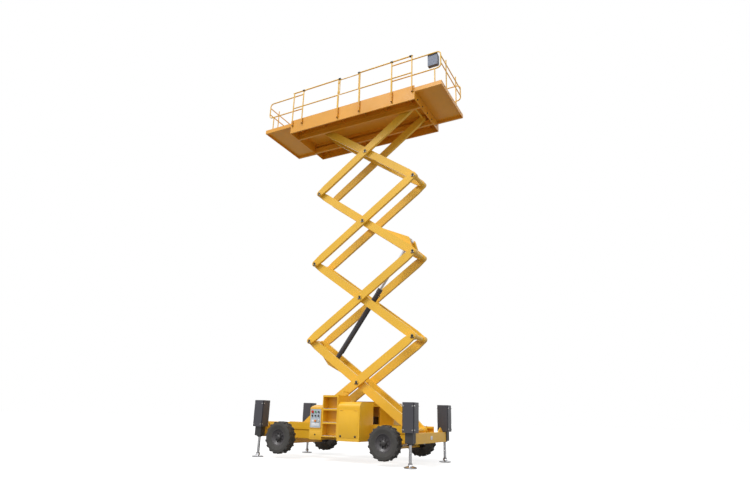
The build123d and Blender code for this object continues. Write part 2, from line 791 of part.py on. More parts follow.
with BuildPart() as control_box:
    with BuildSketch(yz_plane(box_left)):
        with BuildLine():
            Polyline(
                (-side_y, box_bottom),
                (-side_y, box_top - box_front_slope),
                (-side_y + 200, box_top),
                (-box_in_y, box_top),
                (-box_in_y, box_bottom),
                close=True,
            )
        make_face()
    extrude(amount=box_right - box_left)
    with BuildSketch(Plane.XY.offset(box_bottom + sheet)):
        with Locations(((box_left + box_right) / 2, -(side_y + box_in_y) / 2)):
            Rectangle(box_right - box_left - 2 * sheet, side_y - box_in_y - 2 * sheet)
    extrude(amount=box_top - box_front_slope - box_bottom - 2 * sheet, mode=Mode.SUBTRACT)
control_box.part.label = "control_box"
export_step(control_box.part, "parts/control_box.step")

panel_w = 300
panel_bottom = 760
panel_top = 1190
panel_t = 14
knob_t = 22
# (place across, place up, radius) of each knob on the ground control panel.
knobs = ((-90, 150, 26), (0, 150, 16), (90, 150, 16), (-90, 60, 16), (0, 60, 16), (90, 60, 16), (0, -60, 22))

with BuildPart() as control_panel:
    panel_plane = Plane(
        origin=((box_left + box_right) / 2, -side_y - seat_gap, (panel_bottom + panel_top) / 2),
        x_dir=(1, 0, 0),
        z_dir=(0, -1, 0),
    )
    with BuildSketch(panel_plane):
        RectangleRounded(panel_w, panel_top - panel_bottom, 12)
    extrude(amount=panel_t)
    for across, up, r in knobs:
        with BuildSketch(panel_plane.offset(panel_t)):
            with Locations((across, up)):
                Circle(r)
        extrude(amount=knob_t)
control_panel.part.label = "control_panel"
export_step(control_panel.part, "parts/control_panel.step")

step_left = box_right + 2
step_right = mid_x + 230
step_bottom = 557
step_top = 1522
step_wall = 26
step_pitch = 311
step_shelf = 34
step_depth = 210
step_count = 3

with BuildPart() as step_ladder:
    with BuildSketch(Plane.XY.offset(step_bottom)):
        with Locations(((step_left + step_right) / 2, -(side_y + box_in_y) / 2)):
            Rectangle(step_right - step_left, side_y - box_in_y)
    extrude(amount=step_top - step_bottom)
    # Foot pockets, one above the other.
    for step in range(step_count):
        pocket_bottom = step_bottom + 21 + step * step_pitch
        with BuildSketch(Plane.XY.offset(pocket_bottom)):
            with Locations(((step_left + step_right) / 2, -side_y + step_depth / 2)):
                Rectangle(step_right - step_left - 2 * step_wall, step_depth)
        extrude(amount=step_pitch - step_shelf, mode=Mode.SUBTRACT)
    # Hollow behind the pockets.
    hollow_out_y = side_y - step_depth - sheet
    with BuildSketch(Plane.XY.offset(step_bottom + sheet)):
        with Locations(((step_left + step_right) / 2, -(hollow_out_y + box_in_y + sheet) / 2)):
            Rectangle(step_right - step_left - 2 * sheet, hollow_out_y - box_in_y - sheet)
    extrude(amount=step_top - step_bottom - 2 * sheet, mode=Mode.SUBTRACT)
step_ladder.part.label = "step_ladder"
export_step(step_ladder.part, "parts/step_ladder.step")

cover_left = step_right + 2
cover_right = mid_x + 840
cover_bottom = 480
cover_top = 1375
cover_round = 130
cover_in_y = 445         # the cover reaches over the rail, up to the arms

with BuildPart() as tank_cover:
    with BuildSketch(yz_plane(cover_left)):
        with BuildLine():
            Polyline(
                (-side_y, cover_top - cover_round),
                (-side_y, cover_bottom),
                (-box_in_y, cover_bottom),
                (-box_in_y, rail_top + seat_gap),
                (-cover_in_y, rail_top + seat_gap),
                (-cover_in_y, cover_top),
                (-side_y + cover_round, cover_top),
            )
            ThreePointArc(
                (-side_y + cover_round, cover_top),
                (-side_y + cover_round * (1 - sin(radians(45))), cover_top - cover_round * (1 - sin(radians(45)))),
                (-side_y, cover_top - cover_round),
            )
        make_face()
    extrude(amount=cover_right - cover_left)
    with BuildSketch(Plane.XY.offset(cover_bottom + sheet)):
        with Locations(((cover_left + cover_right) / 2, -(side_y + box_in_y) / 2)):
            Rectangle(cover_right - cover_left - 2 * sheet, side_y - box_in_y - 2 * sheet)
    extrude(amount=cover_top - cover_round - cover_bottom - sheet, mode=Mode.SUBTRACT)
tank_cover.part.label = "tank_cover"
export_step(tank_cover.part, "parts/tank_cover.step")

# ================================================================ far side
engine_left = mid_x - 620
engine_right = mid_x + 500
hood_bottom = 480
hood_top = 1430
engine_l = 680
engine_w = 380
engine_h = 560
with BuildPart() as engine_cover:
    with BuildSketch(yz_plane(engine_left)):
        with BuildLine():
            Polyline(
                (side_y, hood_top - cover_round),
                (side_y, hood_bottom),
                (box_in_y, hood_bottom),
                (box_in_y, hood_top),
                (side_y - cover_round, hood_top),
            )
            ThreePointArc(
                (side_y - cover_round, hood_top),
                (side_y - cover_round * (1 - sin(radians(45))), hood_top - cover_round * (1 - sin(radians(45)))),
                (side_y, hood_top - cover_round),
            )
        make_face()
    extrude(amount=engine_right - engine_left)
    # The bay is open towards the chassis rail.
    with BuildSketch(Plane.XY.offset(hood_bottom + sheet)):
        with Locations(((engine_left + engine_right) / 2, (box_in_y + side_y) / 2 - sheet)):
            Rectangle(engine_right - engine_left - 2 * sheet, side_y - box_in_y)
    extrude(amount=hood_top - cover_round - hood_bottom - sheet, mode=Mode.SUBTRACT)
engine_cover.part.label = "engine_cover"
export_step(engine_cover.part, "parts/engine_cover.step")

with BuildPart() as engine_block:
    with BuildSketch(Plane.XY.offset(hood_bottom + sheet + seat_gap)):
        with Locations(((engine_left + engine_right) / 2, (box_in_y + side_y) / 2)):
            Rectangle(engine_l, engine_w)
    extrude(amount=engine_h)
engine_block.part.label = "engine_block"
export_step(engine_block.part, "parts/engine_block.step")

tank_left = engine_right + 4
tank_right = mid_x + 930
tank_bottom = 500
tank_top = 1400
tank_out_y = side_y - 60
tank_wall = 40
tank_round = 40
filler_r = 45
filler_h = 40
with BuildPart() as hydraulic_tank:
    with BuildSketch(Plane.XY.offset(tank_bottom)):
        with Locations(((tank_left + tank_right) / 2, (box_in_y + tank_out_y) / 2)):
            RectangleRounded(tank_right - tank_left, tank_out_y - box_in_y, tank_round)
    extrude(amount=tank_top - tank_bottom)
    with BuildSketch(Plane.XY.offset(tank_bottom + tank_wall)):
        with Locations(((tank_left + tank_right) / 2, (box_in_y + tank_out_y) / 2)):
            Rectangle(tank_right - tank_left - 2 * tank_wall, tank_out_y - box_in_y - 2 * tank_wall)
    extrude(amount=tank_top - tank_bottom - 2 * tank_wall, mode=Mode.SUBTRACT)
    # Filler neck.
    with BuildSketch(Plane.XY.offset(tank_top)):
        with Locations(((tank_left + tank_right) / 2, tank_out_y - 140)):
            Circle(filler_r)
    extrude(amount=filler_h)
hydraulic_tank.part.label = "hydraulic_tank"
export_step(hydraulic_tank.part, "parts/hydraulic_tank.step")

# ================================================================ platform deck
deck_left = mid_x - deck_half
deck_right = mid_x + deck_half
deck_track_step = top_pin_z - 75
end_plate_t = 10
outrigger_t = 8
outriggers = (-1900, -1100, -380, 380, 1100, 1900)   # X from the chassis centre
pin_block = 180
lip = 36
socket_rise = 440        # thick foot of a post above its sleeve
# (place along X from the chassis centre, foot of its sleeve, thick foot) of each rail post.
sleeve_low = deck_bottom + 95
sleeve_short = deck_bottom + 250
sleeve_top = deck_top - 60
posts = (
    (-2080, sleeve_short, 0),
    (-1710, sleeve_short, 0),
    (-390, sleeve_low, socket_rise),
    (360, sleeve_low, socket_rise),
    (1430, sleeve_low, socket_rise),
    (2070, sleeve_short, 0),
)
sleeve_bore = post_r + seat_gap

with BuildPart() as deck_frame:
    # Track beams, hollow side inwards, the load on the roof of the track.
    with BuildSketch(yz_plane(deck_left)):
        with BuildLine():
            Polyline(
                (beam_in_y + rail_recess, deck_bottom),
                (beam_out_y - rail_recess, deck_bottom),
                (beam_out_y - rail_recess, deck_track_step),
                (beam_out_y, deck_track_step),
                (beam_out_y, floor_under),
                (beam_in_y, floor_under),
                (beam_in_y, top_pin_z + roller_r + roller_play),
                (beam_out_y - beam_web, top_pin_z + roller_r + roller_play),
                (beam_out_y - beam_web, top_pin_z - roller_r - track_relief),
                (beam_in_y, top_pin_z - roller_r - track_relief),
                (beam_in_y, deck_track_step),
                (beam_in_y + rail_recess, deck_track_step),
                close=True,
            )
        make_face()
    extrude(amount=2 * deck_half)
    # Floor with its edges turned down to the runner ledges.
    with BuildSketch(Plane.XY.offset(floor_under)):
        with Locations((mid_x, floor_edge_y / 2)):
            Rectangle(2 * deck_half, floor_edge_y)
    extrude(amount=floor_t)
    with BuildSketch(Plane.XY.offset(ledge_z - ledge_t)):
        with Locations((mid_x, floor_edge_y - fascia_t / 2)):
            Rectangle(2 * deck_half, fascia_t)
    extrude(amount=floor_under + floor_t - ledge_z + ledge_t)
    # Side channel: web, runner ledge and bottom lip.
    with BuildSketch(yz_plane(deck_left)):
        with BuildLine():
            Polyline(
                (fascia_y, deck_bottom),
                (fascia_y, deck_top),
                (fascia_y - fascia_t, deck_top),
                (fascia_y - fascia_t, ledge_z),
                (floor_edge_y - fascia_t, ledge_z),
                (floor_edge_y - fascia_t, ledge_z - ledge_t),
                (fascia_y - fascia_t, ledge_z - ledge_t),
                (fascia_y - fascia_t, deck_bottom + fascia_t),
                (fascia_y - lip, deck_bottom + fascia_t),
                (fascia_y - lip, deck_bottom),
                close=True,
            )
        make_face()
    extrude(amount=2 * deck_half)
    # End plates below the extensions.
    for end_x in (deck_left, deck_right - end_plate_t):
        with BuildSketch(yz_plane(end_x)):
            with Locations(((fascia_y - fascia_t) / 2, (deck_bottom + ledge_z) / 2)):
                Rectangle(fascia_y - fascia_t, ledge_z - deck_bottom)
            with Locations((floor_edge_y / 2, (ledge_z + floor_under) / 2)):
                Rectangle(floor_edge_y, floor_under - ledge_z)
        extrude(amount=end_plate_t)
    # Tapered outriggers between the track beams and the side channels.
    for place in outriggers:
        with BuildSketch(yz_plane(mid_x + place - outrigger_t / 2)):
            with BuildLine():
                Polyline(
                    (beam_out_y, deck_track_step + 20),
                    (fascia_y - fascia_t, ledge_z - 90),
                    (fascia_y - fascia_t, ledge_z),
                    (floor_edge_y, ledge_z),
                    (floor_edge_y, floor_under),
                    (beam_out_y, floor_under),
                    close=True,
                )
            make_face()
        extrude(amount=outrigger_t)
    # Solid blocks in the tracks that take the fixed top pin.
    with BuildSketch(xz_plane(base_pin_x, outer_face_y + 16, top_pin_z)):
        Rectangle(pin_block, 2 * (top_pin_z - deck_track_step))
    extrude(amount=beam_out_y - outer_face_y - 16)
    with BuildSketch(xz_plane(base_pin_x, outer_face_y, top_pin_z)):
        Circle(bore_r)
    extrude(amount=beam_out_y - beam_web - outer_face_y, mode=Mode.SUBTRACT)
    # Post sleeves on the outside of the side channels.
    for place, foot, _ in posts:
        with BuildSketch(Plane.XY.offset(foot)):
            with Locations((mid_x + place, post_y)):
                Circle(sleeve_r)
            with Locations((mid_x + place, (post_y + fascia_y) / 2 - sleeve_r / 2)):
                Rectangle(sleeve_r, sleeve_r)
        extrude(amount=sleeve_top - foot)
        with BuildSketch(Plane.XY.offset(foot + 12)):
            with Locations((mid_x + place, post_y)):
                Circle(sleeve_bore)
        extrude(amount=sleeve_top - foot, mode=Mode.SUBTRACT)
    mirror(about=Plane.XZ)
deck_frame.part.label = "deck_frame"
export_step(deck_frame.part, "parts/deck_frame.step")

# ================================================================ guard rails of the main deck
post_foot_gap = 12       # post ends above the foot of its sleeve
gate_gap = 6
rail_overhang = 30       # end of a rail past its end post's centre
middle_rail_r = post_r - seat_gap


def tube_up(x, y, low, high, radius):
    """Upright tube, added to the part in progress."""
    with BuildSketch(Plane.XY.offset(low)) as section:
        with Locations((x, y)):
            Circle(radius)
    extrude(section.sketch, amount=high - low)


def tube_along_x(x_from, x_to, y, z, radius):
    """Level tube along X, added to the part in progress."""
    with BuildSketch(yz_plane(x_from)) as section:
        with Locations((y, z)):
            Circle(radius)
    extrude(section.sketch, amount=x_to - x_from)


def tube_along_y(x, y_from, y_to, z, radius):
    """Level tube along Y, added to the part in progress."""
    with BuildSketch(xz_plane(0, y_from, 0)) as section:
        with Locations((-x, z)):
            Circle(radius)
    extrude(section.sketch, amount=y_to - y_from)


rail_top_line = rail_top_z - rail_r

half_bay = (posts[3][0] - posts[2][0] - seat_gap) / 2

# (name, side, posts, overhang at its left end, overhang at its right end) of each fence.
# The near side is parted by the entry gate between its third and fourth posts, and the
# far side's two sections meet in the middle of that bay.
fences = (
    ("far_left", 1, posts[:3], rail_overhang, half_bay),
    ("far_right", 1, posts[3:], half_bay, rail_overhang),
    ("near_left", -1, posts[:3], rail_overhang, post_r),
    ("near_right", -1, posts[3:], post_r, rail_overhang),
)
for name, side, chosen, left_over, right_over in fences:
    rail_from = mid_x + chosen[0][0] - left_over
    rail_to = mid_x + chosen[-1][0] + right_over
    middle_from = rail_from if left_over > rail_overhang else mid_x + chosen[0][0]
    middle_to = rail_to if right_over > rail_overhang else mid_x + chosen[-1][0]
    fence_y = side * post_y
    with BuildPart() as guardrail:
        # Middle rail, parted by the posts.
        tube_along_x(middle_from, middle_to, fence_y, rail_mid_z, middle_rail_r)
        with BuildSketch(Plane.XY.offset(rail_mid_z - rail_r)):
            with Locations(*[(mid_x + place, fence_y) for place, _, _ in chosen]):
                Circle(post_r + seat_gap)
        extrude(amount=2 * rail_r, mode=Mode.SUBTRACT)
        # Posts, coped under the top rail.
        for place, foot, thick in chosen:
            tube_up(mid_x + place, fence_y, foot + post_foot_gap, rail_top_line, post_r)
            if thick:
                socket_foot = sleeve_top + seat_gap
                tube_up(mid_x + place, fence_y, socket_foot, socket_foot + thick, sleeve_r)
        with BuildSketch(yz_plane(rail_from)):
            with Locations((fence_y, rail_top_line)):
                Circle(rail_r + seat_gap)
        extrude(amount=rail_to - rail_from, mode=Mode.SUBTRACT)
        tube_along_x(rail_from, rail_to, fence_y, rail_top_line, rail_r)
    guardrail.part.label = f"guardrail_{name}"
    export_step(guardrail.part, f"parts/guardrail_{name}.step")

gate_hinge_r = post_r + 8
gate_bar_r = 15
gate_stile_r = 12
gate_end_x = gate_right - post_r - gate_gap - gate_stile_r
gate_start_x = gate_left + gate_hinge_r + gate_stile_r + 10
hinge_h = 60
gate_top = rail_top_line - rail_r - gate_gap - gate_bar_r
hinge_inset = 60         # hinge from the bars above and below it
hinge_levels = (rail_mid_z + hinge_inset, gate_top - hinge_inset - hinge_h)
with BuildPart() as entry_gate:
    for level in (rail_mid_z, gate_top):
        tube_along_x(gate_start_x, gate_end_x, -post_y, level, gate_bar_r)
    for x in (gate_start_x, gate_end_x):
        tube_up(x, -post_y, rail_mid_z, gate_top, gate_stile_r)
    # Hinge eyes around the post.
    for level in hinge_levels:
        with BuildSketch(Plane.XY.offset(level)):
            with Locations((gate_left, -post_y)):
                Circle(gate_hinge_r)
            with Locations(((gate_left + gate_start_x) / 2, -post_y)):
                Rectangle(gate_start_x - gate_left, 16)
            with Locations((gate_left, -post_y)):
                Circle(post_r + running_fit, mode=Mode.SUBTRACT)
        extrude(amount=hinge_h)
entry_gate.part.label = "entry_gate"
export_step(entry_gate.part, "parts/entry_gate.step")

# ================================================================ deck extensions
ext_plate_t = 6
ext_bottom = floor_under + floor_t + slide_gap
runner_bottom = ledge_z + seat_gap
ext_sheet_t = 4
ext_end_t = 8
rail_corner_r = 110
ext_post_r = 17
end_post_y = 420
console_w = 290
console_d = 150
console_h = 400
console_from_end = 110

# (name, outward side, X of the outer end, length of the side loops) of each extension.
extensions = (
    ("left", -1, mid_x - left_reach, 1330),
    ("right", 1, mid_x + right_reach, 1527),
)

for name, out, end_x, loop_length in extensions:
    inner_x = end_x - out * ext_length
    low_x_end = min(end_x, inner_x)
    with BuildPart() as extension:
        # Hollow panel, its far end open, between two runner tubes.
        panel_half = runner_in_y - seat_gap
        runner_mid_y = (runner_in_y + runner_out_y) / 2
        runner_mid_z = (runner_bottom + ext_floor_z) / 2
        runner_w = runner_out_y - runner_in_y
        runner_h = ext_floor_z - runner_bottom
        panel_x = low_x_end + (ext_end_t + seat_gap if out < 0 else 0)
        with BuildSketch(yz_plane(panel_x)):
            with Locations((0, (ext_bottom + ext_floor_z) / 2)):
                Rectangle(2 * panel_half, ext_floor_z - ext_bottom)
            with Locations((0, (ext_bottom + ext_sheet_t + ext_floor_z - ext_plate_t) / 2)):
                Rectangle(
                    2 * (panel_half - ext_plate_t),
                    ext_floor_z - ext_plate_t - ext_bottom - ext_sheet_t,
                    mode=Mode.SUBTRACT,
                )
            for side in (-1, 1):
                with Locations((side * runner_mid_y, runner_mid_z)):
                    Rectangle(runner_w, runner_h)
                    Rectangle(runner_w - 2 * runner_wall, runner_h - 2 * runner_wall, mode=Mode.SUBTRACT)
        extrude(amount=ext_length - ext_end_t - seat_gap)
        # End plate.
        with BuildSketch(yz_plane(end_x - (ext_end_t if out > 0 else 0))):
            with Locations((0, runner_mid_z)):
                Rectangle(2 * runner_out_y, runner_h)
        extrude(amount=ext_end_t)
    extension.part.label = f"extension_deck_{name}"
    export_step(extension.part, f"parts/extension_deck_{name}.step")

    rail_out_x = end_x - out * (ext_rail_r + 20)
    rail_in_x = rail_out_x - out * loop_length
    post_out_x = end_x - out * 220
    post_in_x = rail_in_x
    high = ext_rail_high - ext_rail_r
    low = ext_rail_low + ext_rail_r
    with BuildPart() as ext_rails:
        for side in (-1, 1):
            y = side * ext_rail_y
            # Side loop, bent at its outer corners.
            with BuildLine() as loop:
                FilletPolyline(
                    (rail_in_x, y, high),
                    (rail_out_x, y, high),
                    (rail_out_x, y, low),
                    (rail_in_x, y, low),
                    radius=rail_corner_r,
                )
            with BuildSketch(Plane(origin=loop.line @ 0, z_dir=loop.line % 0)):
                Circle(ext_rail_r)
            sweep(path=loop.line)
            tube_up(post_in_x, y, ext_floor_z + seat_gap, high + ext_rail_r, ext_post_r)
            tube_up(post_out_x, y, ext_floor_z + seat_gap, low, ext_post_r)
            # End posts and the straps that hold them to the side loops.
            tube_up(rail_out_x, side * end_post_y, ext_floor_z + seat_gap, high, ext_post_r)
            for level in (high - rail_corner_r - 40, low + rail_corner_r + 40):
                tube_along_y(rail_out_x, min(0, y), max(0, y), level, ext_post_r)
    ext_rails.part.label = f"extension_rails_{name}"
    export_step(ext_rails.part, f"parts/extension_rails_{name}.step")

    if out > 0:
        # Control console, hooked over the inside of the near rail.
        console_x = rail_out_x - console_from_end - console_w / 2
        console_top = high + 20
        with BuildPart() as console:
            with BuildSketch(yz_plane(console_x - console_w / 2)):
                with BuildLine():
                    Polyline(
                        (-ext_rail_y + ext_rail_r + seat_gap, console_top - console_h),
                        (-ext_rail_y + ext_rail_r + seat_gap + console_d - 40, console_top - console_h),
                        (-ext_rail_y + ext_rail_r + seat_gap + console_d, console_top - console_h + 80),
                        (-ext_rail_y + ext_rail_r + seat_gap + console_d, console_top - 60),
                        (-ext_rail_y + ext_rail_r + seat_gap, console_top),
                        close=True,
                    )
                make_face()
            extrude(amount=console_w)
        console.part.label = "platform_console"
        export_step(console.part, "parts/platform_console.step")
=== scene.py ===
"""Self-propelled scissor lift: finishes, fittings, floor and lights around the CAD pieces."""

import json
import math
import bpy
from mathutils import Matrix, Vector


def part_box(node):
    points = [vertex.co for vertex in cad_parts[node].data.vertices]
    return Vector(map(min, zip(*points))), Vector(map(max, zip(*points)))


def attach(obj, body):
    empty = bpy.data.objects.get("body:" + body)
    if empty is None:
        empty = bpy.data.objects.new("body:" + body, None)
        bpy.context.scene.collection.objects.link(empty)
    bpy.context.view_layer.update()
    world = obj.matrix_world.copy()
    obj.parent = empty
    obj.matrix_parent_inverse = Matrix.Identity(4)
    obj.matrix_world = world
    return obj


bl_info = {
    "name": "Scissor lift",
    "version": (1, 0, 0),
    "blender": (4, 0, 0),
    "location": "3D View > Sidebar > Scissor lift",
    "description": "Dresses a self-propelled scissor lift with paint and fittings",
    "category": "Object",
}

import bmesh
import bpy
from mathutils import Matrix, Vector

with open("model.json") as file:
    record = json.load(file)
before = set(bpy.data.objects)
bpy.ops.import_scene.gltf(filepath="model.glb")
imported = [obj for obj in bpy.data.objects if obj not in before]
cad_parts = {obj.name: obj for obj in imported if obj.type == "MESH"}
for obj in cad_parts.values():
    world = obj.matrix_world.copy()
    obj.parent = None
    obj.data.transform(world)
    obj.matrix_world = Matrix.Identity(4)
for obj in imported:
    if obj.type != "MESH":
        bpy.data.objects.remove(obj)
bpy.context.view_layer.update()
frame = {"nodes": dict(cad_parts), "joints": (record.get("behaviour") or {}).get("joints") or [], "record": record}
RECORD = frame["record"]
JOINTS = {j["name"]: j for j in frame["joints"]}
SLOT_OF = {s["node"]: s["material_slot"] for s in RECORD["subparts"]}
COLOUR_OF = {m["slot"]: tuple(m["base_color"][:3]) for m in RECORD["materials"]}
CORNERS = ("front_near", "front_far", "rear_near", "rear_far")
STAGES = 4

# Places on the CAD pieces that the frame doesn't give, in metres.
PIN_HEAD_Y = 0.412
KEEPER_DROP = 0.047
GLAND_Z = 0.510
GLAND_SCREW_Z = 0.496
PAD_COLLAR_Z = 0.084
COVER_HALF_X = 0.1475
COVER_HALF_Y = 0.145
COVER_SCREW_ROWS = (0.79, 1.30)
COVER_ROUND = 0.13
LATCH_DROP = 0.27
LADDER_WALL = 0.026
GLAND_REACH = 2.42
TOP_PORT_REACH = 2.26
LOW_PORT_REACH = 0.17
BARREL_SIDE = 0.060
RAIL_LATCHES_X = (-1.595, -0.245, 0.445, 1.545, 2.150)

# X of each guard rail post, and the height of its foot above the underside of the deck.
POSTS = ((-1.965, 0.25), (-1.595, 0.25), (-0.275, 0.095), (0.475, 0.095), (1.545, 0.095), (2.185, 0.25))

HUB_BOLTS = 6
LOUVRES = 9
ROUND_LATCH = ((0.024, 0), (0.024, 0.006), (0.018, 0.010), (0, 0.010))

# Across, up, radius and finish of each knob on the ground control panel.
PANEL_KNOBS = (
    (-0.09, 0.15, 0.026, "red_knob"),
    (0.0, 0.15, 0.016, "green_knob"),
    (0.09, 0.15, 0.016, "black_knob"),
    (-0.09, 0.06, 0.016, "black_knob"),
    (0.0, 0.06, 0.016, "black_knob"),
    (0.09, 0.06, 0.016, "black_knob"),
    (0.0, -0.06, 0.022, "amber_knob"),
)

ENAMELS = {
    "white_plate": (0.78, 0.79, 0.80),
    "red_knob": (0.55, 0.02, 0.015),
    "amber_knob": (0.80, 0.24, 0.02),
    "green_knob": (0.03, 0.30, 0.06),
    "black_knob": (0.02, 0.02, 0.022),
    "gauge_face": (0.62, 0.62, 0.58),
}

FLOOR_GREY = (0.34, 0.34, 0.34, 1)
FLOOR_GLOW = 0.80
CAMERA_PLACE = (7.022, -11.942, 1.076)
CAMERA_RIGHT = (0.8857, 0.4636, 0.0266)
CAMERA_AHEAD = (-0.4477, 0.8374, 0.3136)


# ------------------------------------------------------------------ settings


def colour(label, text, default):
    """A colour setting."""
    return bpy.props.FloatVectorProperty(
        name=label, description=text, subtype="COLOR", size=3, min=0, max=1, default=default
    )


def share(label, text, default):
    """A setting from none to all."""
    return bpy.props.FloatProperty(
        name=label, description=text, subtype="FACTOR", min=0, max=1, default=default
    )


def length(label, text, default):
    """A setting in metres."""
    return bpy.props.FloatProperty(
        name=label, description=text, unit="LENGTH", min=0, precision=4, default=default
    )


def count(label, text, default):
    """A whole number of pieces."""
    return bpy.props.IntProperty(name=label, description=text, min=1, default=default)


class PaintSettings(bpy.types.PropertyGroup):
    """Colours and wear of the finishes."""

    chassis_yellow: colour("Chassis yellow", "Paint of the chassis and its boxes", (0.86, 0.47, 0.011))
    arm_yellow: colour("Arm yellow", "Paint of the scissor arms", (0.88, 0.50, 0.034))
    # The deck yellow is darker and more orange than the chassis yellow: painted shade for the underside of the
    # deck.
    deck_yellow: colour("Deck yellow", "Paint of the platform deck", (0.82, 0.36, 0.018))
    rail_yellow: colour("Rail yellow", "Paint of the guard rails", (0.88, 0.52, 0.055))
    dark_grey: colour("Dark grey", "Paint of the jack covers and the lift cylinder", (0.050, 0.049, 0.060))
    black: colour("Black", "Paint of the jack tubes and steering", (0.022, 0.021, 0.024))
    chrome: colour("Chrome", "Plated rods", COLOUR_OF["chrome"])
    tyre: colour("Tyre rubber", "Rubber of the tyres", COLOUR_OF["tyre"])
    rim_grey: colour("Rim grey", "Paint of the wheel rims", (0.050, 0.046, 0.052))
    panel_blue_grey: colour("Panel blue-grey", "Ground control panel", COLOUR_OF["panel_blue_grey"])
    console_blue: colour("Console blue", "Platform console housing", COLOUR_OF["console_blue"])
    engine: colour("Engine grey", "Cast iron of the engine", COLOUR_OF["engine"])
    dust: colour("Dust", "Dust on the lower parts", (0.34, 0.27, 0.18))
    fade: share("Fading", "How far the paint varies over a panel", 0.08)
    dust_amount: share("Dust amount", "How thickly dust lies near the ground", 0.28)


class FittingSettings(bpy.types.PropertyGroup):
    """Sizes of the small fittings."""

    pin_cap_r: length("Pin end radius", "Dark end of a pivot pin inside its head", 0.034)
    keeper_length: length("Keeper length", "Plate that stops a pin from turning", 0.105)
    wheel_nuts: count("Wheel nuts", "Nuts on each wheel", 8)
    wheel_nut_circle: length("Nut circle radius", "Radius of the circle of wheel nuts", 0.100)
    wheel_nut_across: length("Nut across flats", "Wheel nut size", 0.026)
    bolt_across: length("Bolt across flats", "Cover and flange bolts", 0.019)
    step_teeth: count("Step teeth", "Teeth along each ladder tread", 15)
    latch_length: length("Latch length", "Body of a guard rail latch", 0.075)


class StageSettings(bpy.types.PropertyGroup):
    """Floor, lights and camera."""

    floor_radius: length("Floor radius", "Radius of the floor disc", 90.0)
    key_light: bpy.props.FloatProperty(
        name="Key light", description="Strength of the main light", min=0, default=2.15
    )
    fill_light: bpy.props.FloatProperty(
        name="Fill light", description="Strength of the light from the other side", min=0, default=0.50
    )
    sky_light: bpy.props.FloatProperty(
        name="Sky light", description="Strength of the light from all round", min=0, default=0.52
    )
    lens: bpy.props.FloatProperty(
        name="Lens", description="Focal length of the camera", unit="CAMERA", min=1, default=24.05
    )


def paint_settings():
    return bpy.context.scene.lift_paint


def fitting_settings():
    return bpy.context.scene.lift_fittings


def stage_settings():
    return bpy.context.scene.lift_stage


# ------------------------------------------------------------------ finishes


class Nodes:
    """A material's node tree, with short calls to add and link its nodes."""

    def __init__(self, name):
        self.material = bpy.data.materials.new(name)
        self.material.use_nodes = True
        self.tree = self.material.node_tree
        self.shader = self.tree.nodes["Principled BSDF"]
        self.place = self.add("ShaderNodeTexCoord").outputs["Object"]

    def feed(self, socket, value):
        """Links an output to the socket, or sets a plain value on it."""
        if isinstance(value, bpy.types.NodeSocket):
            self.tree.links.new(value, socket)
        else:
            socket.default_value = value

    def add(self, kind, **inputs):
        """A new node; each keyword names a socket, with _ for a space."""
        node = self.tree.nodes.new(kind)
        for key, value in inputs.items():
            self.feed(node.inputs[key.replace("_", " ")], value)
        return node

    def noise(self, scale, detail=3.0, roughness=0.55, stretch=None):
        """Noise in the piece's own metres, stretched along its axes if asked."""
        place = self.place
        if stretch:
            mapping = self.add("ShaderNodeMapping", Vector=place)
            mapping.inputs["Scale"].default_value = stretch
            place = mapping.outputs["Vector"]
        node = self.add("ShaderNodeTexNoise", Vector=place, Scale=scale, Detail=detail, Roughness=roughness)
        return node.outputs["Fac"]

    def span(self, value, low, high, to_low, to_high):
        """The value, with its range from low to high spread over a new range."""
        node = self.add("ShaderNodeMapRange", Value=value)
        for key, number in (("From Min", low), ("From Max", high), ("To Min", to_low), ("To Max", to_high)):
            node.inputs[key].default_value = number
        return node.outputs["Result"]

    def times(self, a, b):
        """The product of two values."""
        node = self.add("ShaderNodeMath")
        node.operation = "MULTIPLY"
        for socket, value in zip(node.inputs, (a, b)):
            self.feed(socket, value)
        return node.outputs["Value"]

    def mix(self, factor, a, b):
        """Colour a where the factor is 0 and b where it is 1."""
        node = self.tree.nodes.new("ShaderNodeMix")
        node.data_type = "RGBA"
        self.tree.links.new(factor, node.inputs["Factor"])
        # The node's colours go in at sockets 6 and 7 and come out at 2.
        for socket, value in ((node.inputs[6], a), (node.inputs[7], b)):
            self.feed(socket, value if isinstance(value, bpy.types.NodeSocket) else (*value, 1))
        return node.outputs[2]

    def bump(self, height, distance, strength=1.0):
        """Relief from the height, on the whole finish."""
        node = self.add("ShaderNodeBump", Height=height)
        node.inputs["Distance"].default_value = distance
        node.inputs["Strength"].default_value = strength
        self.tree.links.new(node.outputs["Normal"], self.shader.inputs["Normal"])

    def set(self, **values):
        """Feeds the shader's sockets; each keyword names one, with _ for a space."""
        for key, value in values.items():
            self.feed(self.shader.inputs[key.replace("_", " ")], value)


def scaled(rgb, factor):
    """The colour made darker or lighter."""
    return tuple(min(1.0, c * factor) for c in rgb)


